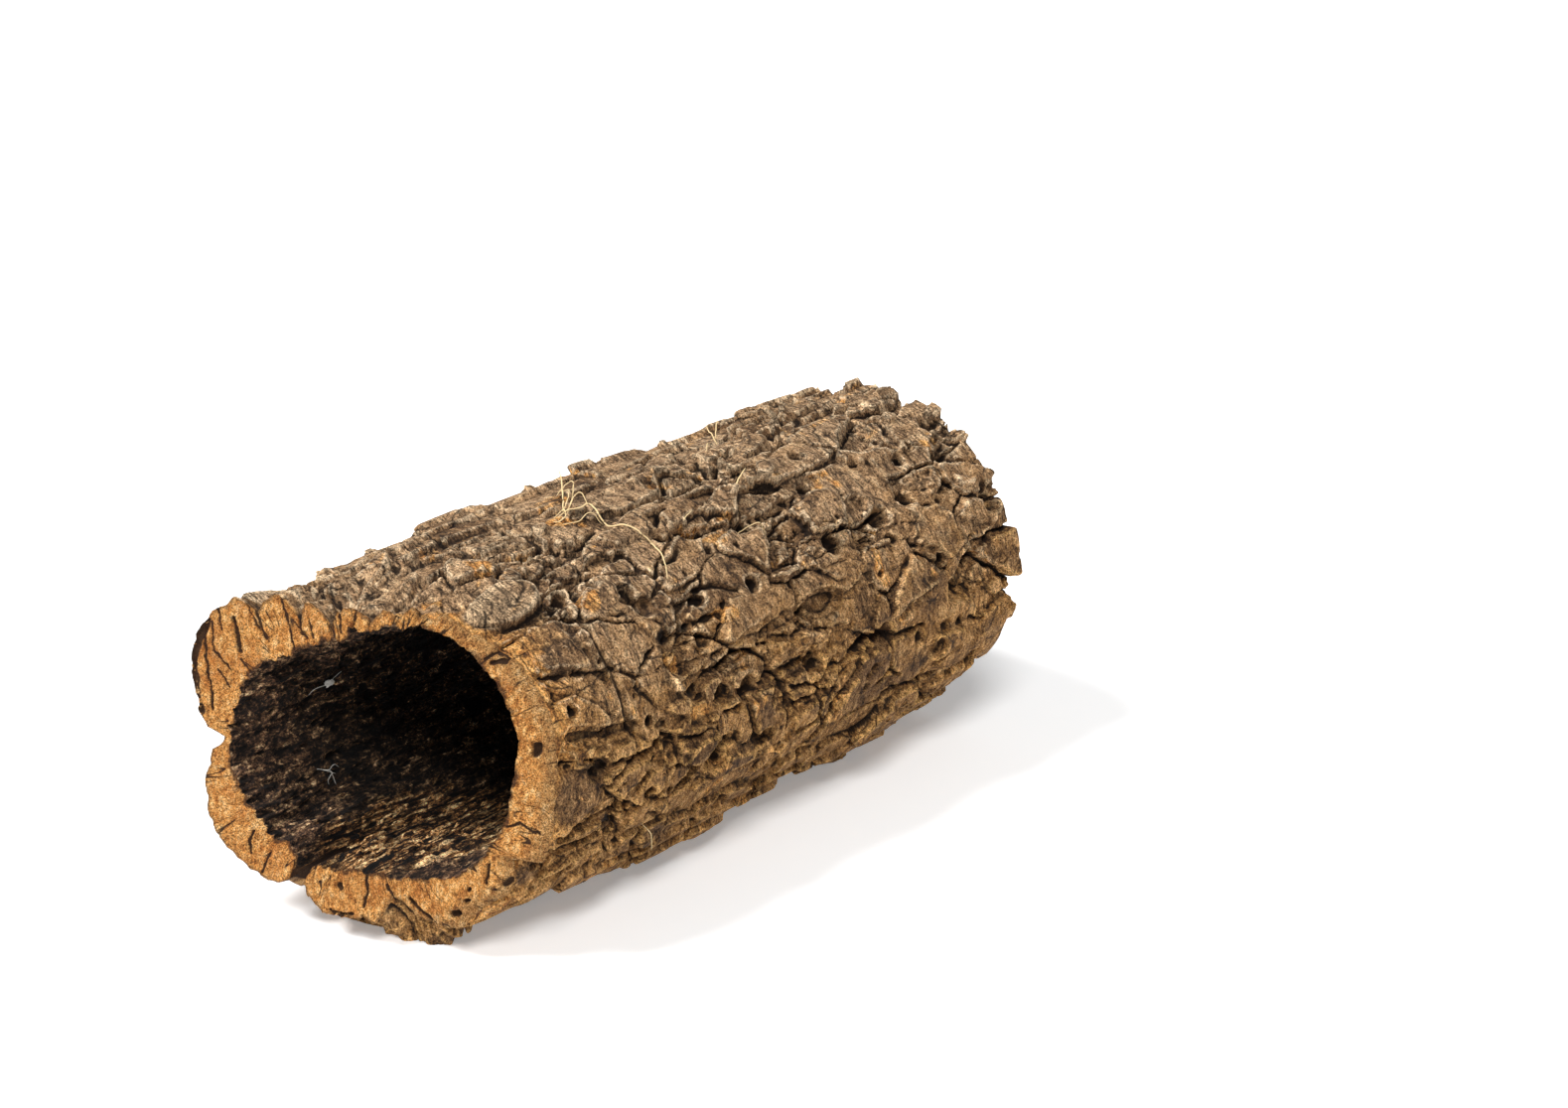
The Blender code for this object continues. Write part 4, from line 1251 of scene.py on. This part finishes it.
def give_finish(tree, shader, base, roughness, height):
    """Gives a shader its colour, its roughness and a bump whose height is in metres."""
    tree.links.new(base, shader.inputs["Base Color"])
    shader.inputs["Roughness"].default_value = roughness
    bump = add(tree, "ShaderNodeBump", Height=height, Strength=1.0, Distance=1.0)
    tree.links.new(bump, shader.inputs["Normal"])


give_finish(tree, shader, base, 0.9, height)
print("the whole bark material has", len(tree.nodes), "nodes")

# %% [markdown]
# ## Sawn cork
# Fresh-sawn cork is orange tan, with a grain like coarse bread: pores under a millimetre across, torn flecks,
# and dark slits. It is browner where it meets the hollow, dirty for the last millimetre under the bark, and
# duller where the edge is worn round. The slits are the marks stored on the points. The rest comes from noise
# and from the distances to the two edges, which a picture wrapped round the face couldn't follow.

# %% The sawn material
tree, shader = shader_of(sawn_cork)
patches = texture(tree, 0.018, detail=5.0, bend=0.5)
grain = texture(tree, 0.0052, (1, 1, 0.6), detail=10.0, roughness=0.80)
pores = texture(tree, 0.0010, detail=3.0, roughness=0.8)
base = ramp(tree, grain, (0.34, "5E3414"), (0.42, "A0642C"), (0.52, "C98F4C"), (0.66, "EAC48A"))
base = over(tree, base, colour("A26129"), patches, 0.50, 0.66, 0.60)
by_hollow = total(tree, (fact(tree, "from_inside"), -1.0), (patches, 0.018), (grain, 0.004))
base = over(tree, base, colour("3A2010"), by_hollow, 0.0088, 0.0108, 0.85)
by_bark = total(tree, (fact(tree, "from_outside"), -1.0), (grain, 0.007))
base = over(tree, base, colour("5A3D24"), by_bark, 0.0012, 0.0030, 0.8)
worn = ramp(tree, grain, (0.34, "54371D"), (0.44, "8C6237"), (0.54, "B08550"), (0.66, "D2AE7E"))
worn_here = total(tree, (fact(tree, "worn"), 0.012), (fact(tree, "from_outside"), -1.0), (patches, 0.016))
base = over(tree, base, worn, worn_here, 0.004, 0.014, 0.85)
base = times(tree, base, pores, 0.40, 0.58, 0.18, 1.58)
marked = total(tree, (fact(tree, "dark"), 1.0), (grain, 0.5))
base = over(tree, base, colour("281408"), marked, 0.38, 0.80, 0.95)
give_finish(tree, shader, base, 0.95, total(tree, (grain, 0.0042), (pores, 0.0016)))
print("the sawn cork has", len(tree.nodes), "nodes")

# %% [markdown]
# ## The hollow
# Inside, the bark parted from the wood along its living layer, which dried to a dark, fibrous skin. It is
# painted nearly black deep inside, as painted shade, and brown only near the mouth, as painted light where
# light gets in. Strands run along the tube, so their noise is stretched that way, and crumbs and chunks of
# two sizes break it up.

# %% Textures and ground colours of the hollow
tree, shader = shader_of(hollow_lit_and_shaded)
strands = texture(tree, 0.0046, (1, 0.18, 1), detail=8.0, roughness=0.72, bend=0.6)
crumbs = texture(tree, 0.0048, detail=9.0, roughness=0.80)
flecks = texture(tree, 0.0014, (1, 0.5, 1), detail=3.0, roughness=0.85)
patches = texture(tree, 0.024, (1, 0.6, 1), detail=6.0, bend=0.8)
chunks = texture(tree, 0.0110, (1, 0.6, 1), detail=6.0, roughness=0.65, bend=1.0)
mixed = total(tree, (strands, 0.35), (crumbs, 0.40), (chunks, 0.25))
# a shaded and a lit copy of the skin: painted shade deep inside, painted light near the mouth
shaded_skin = ramp(tree, mixed, (0.44, "0A0604"), (0.505, "2B1E13"), (0.545, "604730"), (0.59, "C2A27C"))
lit_skin = ramp(tree, mixed, (0.43, "0C0704"), (0.485, "33231A"), (0.53, "6E5038"), (0.58, "C0A078"))
# painted light: brown near the mouth and on the lit ledge, where light gets in
lit = total(tree, (fact(tree, "behind_cut"), -9.0), (patches, 1.2), (fact(tree, "lit_brown_ledge"), 0.9))
base = over(tree, shaded_skin, lit_skin, lit, -0.25, 0.35)
print("the hollow's skin takes", len(tree.nodes), "nodes")

# %% [markdown]
# ### The bare and lit floor
# Low down near the mouth the dark skin has flaked off, and tan cork shows through in straws that run along
# the tube; the tan is laid where light falls on the floor, so it is partly the floor's own cork and partly a
# painted pool of light. A browner lip goes round the mouth. Chunks and flecks then darken skin and floor
# alike, and crevices get painted shade, which ties the two together.

# %% Straws, lip and darks of the hollow
straws = texture(tree, 0.0042, (1, 0.10, 1), detail=7.0, roughness=0.62, bend=0.9)
straws = total(tree, (straws, 0.75), (crumbs, 0.25))
lit_straws = ramp(tree, straws, (0.45, "080402"), (0.495, "4A2E16"), (0.54, "A87A4A"), (0.60, "E8C591"))
low_down = grey(tree, fact(tree, "facing_up"), -0.45, -0.90)
near_mouth = grey(tree, fact(tree, "behind_cut"), 0.40, 0.05)
bare_and_lit = maths(tree, "MULTIPLY", low_down, near_mouth)
# partly the floor's own tan straws, partly a painted pool of light where light falls on the floor
bare_and_lit = total(tree, (bare_and_lit, 0.35), (fact(tree, "lit_tan_floor"), 0.85), (patches, 1.3))
base = over(tree, base, lit_straws, bare_and_lit, 0.98, 1.22)
lip = total(tree, (fact(tree, "behind_cut"), -1.0), (patches, 0.03))
base = over(tree, base, colour("5A3820"), lip, 0.012, 0.016, 0.5)
base = times(tree, base, chunks, 0.42, 0.58, 0.45, 1.40)
base = times(tree, base, flecks, 0.41, 0.60, 0.14, 2.40)
# painted shade in the crevices of the hollow
crevice_shade = total(tree, (fact(tree, "fine_edge"), 1.0), (crumbs, -0.4))
base = over(tree, base, colour("080402"), crevice_shade, 0.0, 0.8, 0.85)
give_finish(tree, shader, base, 0.85, total(tree, (strands, 0.0060), (crumbs, 0.0060)))
print("the whole hollow material has", len(tree.nodes), "nodes")

# %% [markdown]
# ## Rootlets and straws
# Dry rootlets and bits of straw stay caught in bark that has lain outdoors. They are about a millimetre
# thick, so a flat picture of them would give itself away: each is a thin tube. Its course is a few points on
# the bark, as degrees, metres along and height over the surface, joined by a smooth curve. A little noise on
# the way keeps it from looking drawn. All the strands are one light mesh.

# %% Courses of the rootlets
ROOTLETS = (
    # half thickness, then the (degrees, along, height) points of its course
    (0.00055, ((89, 0.196, 0.003), (93, 0.206, 0.009), (98, 0.218, 0.015), (103, 0.229, 0.020))),
    (0.00045, ((88, 0.195, 0.003), (93, 0.214, 0.008), (99, 0.232, 0.010), (103, 0.236, 0.008),
               (102, 0.226, 0.006), (101, 0.218, 0.004))),
    (0.00045, ((89, 0.196, 0.002), (92, 0.209, 0.008), (97, 0.222, 0.009), (100, 0.229, 0.006),
               (103, 0.227, 0.003))),
    (0.00045, ((91, 0.190, 0.001), (87, 0.187, 0.003), (87, 0.194, 0.005), (90, 0.199, 0.004),
               (92, 0.194, 0.001))),
    (0.00060, ((90, 0.193, 0.001), (88, 0.198, 0.004), (86, 0.206, 0.006), (85, 0.213, 0.007),
               (81, 0.212, 0.005), (76, 0.212, 0.003), (71, 0.216, 0.003), (66, 0.221, 0.003),
               (61, 0.225, 0.002), (56, 0.221, 0.004), (51, 0.216, 0.003), (47, 0.212, -0.001))),
    (0.00040, ((86, 0.214, 0.007), (91, 0.220, 0.008), (93, 0.217, 0.007), (90, 0.203, 0.003),
               (88, 0.196, 0.001))),
    (0.00035, ((86, 0.189, 0.001), (83, 0.197, 0.003), (82, 0.208, 0.003), (78, 0.212, 0.002))),
    (0.00045, ((116, 0.414, 0.008), (113, 0.408, 0.006), (109, 0.402, 0.004), (105, 0.397, 0.001))),
    (0.00045, ((114, 0.424, 0.010), (111, 0.412, 0.006), (107, 0.400, 0.002))),
    (0.00040, ((92, 0.355, 0.001), (96, 0.366, 0.004), (99, 0.376, 0.002))),
    (0.00060, ((71, 0.334, 0.001), (73, 0.345, 0.004), (75, 0.355, 0.001))),
    (0.00035, ((64, 0.262, 0.001), (65, 0.269, 0.003), (66, 0.276, 0.001))),
    (0.00035, ((55, 0.305, 0.001), (52, 0.313, 0.002), (48, 0.318, 0.001))),
    (0.00035, ((335, 0.140, 0.000), (331, 0.150, 0.004), (326, 0.152, 0.006))),
    (0.00040, ((140, 0.150, 0.000), (146, 0.162, 0.004), (151, 0.180, 0.003), (149, 0.195, 0.000))),
    (0.00035, ((205, 0.300, 0.000), (198, 0.312, 0.004), (190, 0.316, 0.001))),
)
print(len(ROOTLETS), "strands on the bark")

# %% From a course to a thin tube
STRAND_SIDES = 5
STEPS_BETWEEN = 8
CROOKED, CROOKED_SIZE = 0.0005, 0.004
STRAND_SEED = 1
TAPERED_END = 0.35


def over_surface(degrees, distance, height, surface, distances):
    """The place at a height over a surface given as radii and distances along for each column."""
    column = round(degrees / 360 * COLUMNS) % COLUMNS
    near_columns = [(column + step) % COLUMNS for step in range(-2, 3)]
    radius = max(np.interp(distance, distances[:, near], surface[:, near]) for near in near_columns)
    return placed(math.radians(degrees), distance, radius + height)


def smooth_course(points):
    """A curve through all the points, with extra points between them."""
    points = np.array(points)
    padded = np.concatenate((2 * points[:1] - points[1:2], points, 2 * points[-1:] - points[-2:-1]))
    course = []
    for before, start, end, after in zip(padded, padded[1:], padded[2:], padded[3:]):
        for share in np.arange(STEPS_BETWEEN) / STEPS_BETWEEN:
            course.append(0.5 * (2 * start + (end - before) * share
                                 + (2 * before - 5 * start + 4 * end - after) * share**2
                                 + (3 * start - before - 3 * end + after) * share**3))
    course.append(points[-1])
    return np.array(course)


def add_strand(bm, course, half_thickness, seed):
    """A thin crooked tube along a course, tapering to both its ends."""
    rings = []
    for step, point in enumerate(course):
        onward = Vector(course[min(step + 1, len(course) - 1)] - course[max(step - 1, 0)])
        sideways = onward.orthogonal().normalized()
        upwards = onward.cross(sideways).normalized()
        crook = noise.noise_vector(Vector(point) / CROOKED_SIZE + Vector((seed, 0, 0)))
        middle = Vector(point) + CROOKED * crook
        swelling = math.sin(math.pi * step / (len(course) - 1)) ** 0.5
        radius = half_thickness * (TAPERED_END + (1 - TAPERED_END) * swelling)
        ring = []
        for side in range(STRAND_SIDES):
            turned = 2 * math.pi * side / STRAND_SIDES
            out = math.cos(turned) * sideways + math.sin(turned) * upwards
            ring.append(bm.verts.new(middle + radius * out))
        rings.append(ring)
    for ring, after in zip(rings, rings[1:]):
        for side in range(STRAND_SIDES):
            bm.faces.new((ring[side - 1], ring[side], after[side], after[side - 1]))
    bm.faces.new(rings[0][::-1])
    bm.faces.new(rings[-1])


def add_piece(name, bm, material):
    """A loose piece of trim that rides on the tube."""
    mesh = bpy.data.meshes.new(name)
    bm.to_mesh(mesh)
    bm.free()
    mesh.materials.append(material)
    mesh.shade_smooth()
    piece = bpy.data.objects.new(name, mesh)
    bpy.context.scene.collection.objects.link(piece)
    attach(piece, "root")
    print(name, "has", len(mesh.polygons), "faces")


# Blender's vector noise starts from the clock, so it gets a seed here and comes out the same in every run
noise.seed_set(STRAND_SEED)
rootlet_bm = bmesh.new()
for seed, (half_thickness, points) in enumerate(ROOTLETS):
    places = [over_surface(*point, bark, along) for point in points]
    add_strand(rootlet_bm, smooth_course(places), half_thickness, seed)
dry_straw = plain_material("dry_straw", colour("D9BE8C"), 0.75)
add_piece("rootlets", rootlet_bm, dry_straw)

# %% [markdown]
# ## A fleck and fibres in the hollow
# Two small things catch the eye inside: a white fleck of old cocoon with a thread at each end, on the left
# wall, and a few pale fibres lower down. The fleck is a small sphere pushed out of shape by noise, and the
# fibres are strands like the rootlets, laid on the hollow's own surface.

# %% Make the fleck and its fibres
FLECK = (173, 0.064, 0.002)
FLECK_RADIUS = 0.0028
FLECK_SHAPE = (0.45, 1.25, 0.8)
FLECK_CRUMPLE, FLECK_CRUMPLES = 0.55, 1.6
FIBRE_SEED = 40
FIBRES = (
    (0.00024, ((173, 0.062, 0.003), (172, 0.056, 0.006), (173, 0.050, 0.004), (175, 0.045, 0.002))),
    (0.00020, ((172, 0.066, 0.003), (170, 0.073, 0.005), (171, 0.078, 0.003))),
    (0.00022, ((206, 0.039, 0.003), (208, 0.042, 0.006), (211, 0.045, 0.005), (214, 0.047, 0.002))),
    (0.00022, ((207, 0.040, 0.004), (209, 0.047, 0.005), (210, 0.053, 0.002))),
    (0.00020, ((209, 0.043, 0.005), (211, 0.041, 0.004), (213, 0.042, 0.002))),
    (0.00020, ((205, 0.036, 0.002), (207, 0.044, 0.004), (206, 0.051, 0.005), (208, 0.058, 0.002))),
)

fleck_bm = bmesh.new()


def over_hollow(degrees, distance, height):
    """The place at a height over the hollow's surface, which faces inwards."""
    return over_surface(degrees, distance, -height, hollow, inner_along)


for seed, (half_thickness, points) in enumerate(FIBRES, FIBRE_SEED):
    places = [over_hollow(*point) for point in points]
    add_strand(fleck_bm, smooth_course(places), half_thickness, seed)
fleck_middle = Vector(over_hollow(*FLECK))
fleck = bmesh.ops.create_icosphere(fleck_bm, subdivisions=4, radius=1)
for vert in fleck["verts"]:
    crumpled = 1 + FLECK_CRUMPLE * noise.fractal(vert.co * FLECK_CRUMPLES, 0.8, 2.1, 4)
    shaped = Vector([share * side for share, side in zip(FLECK_SHAPE, vert.co)])
    vert.co = fleck_middle + FLECK_RADIUS * crumpled * shaped
pale_fluff = plain_material("pale_fluff", colour("E9E6DE"), 0.9)
add_piece("fluff", fleck_bm, pale_fluff)
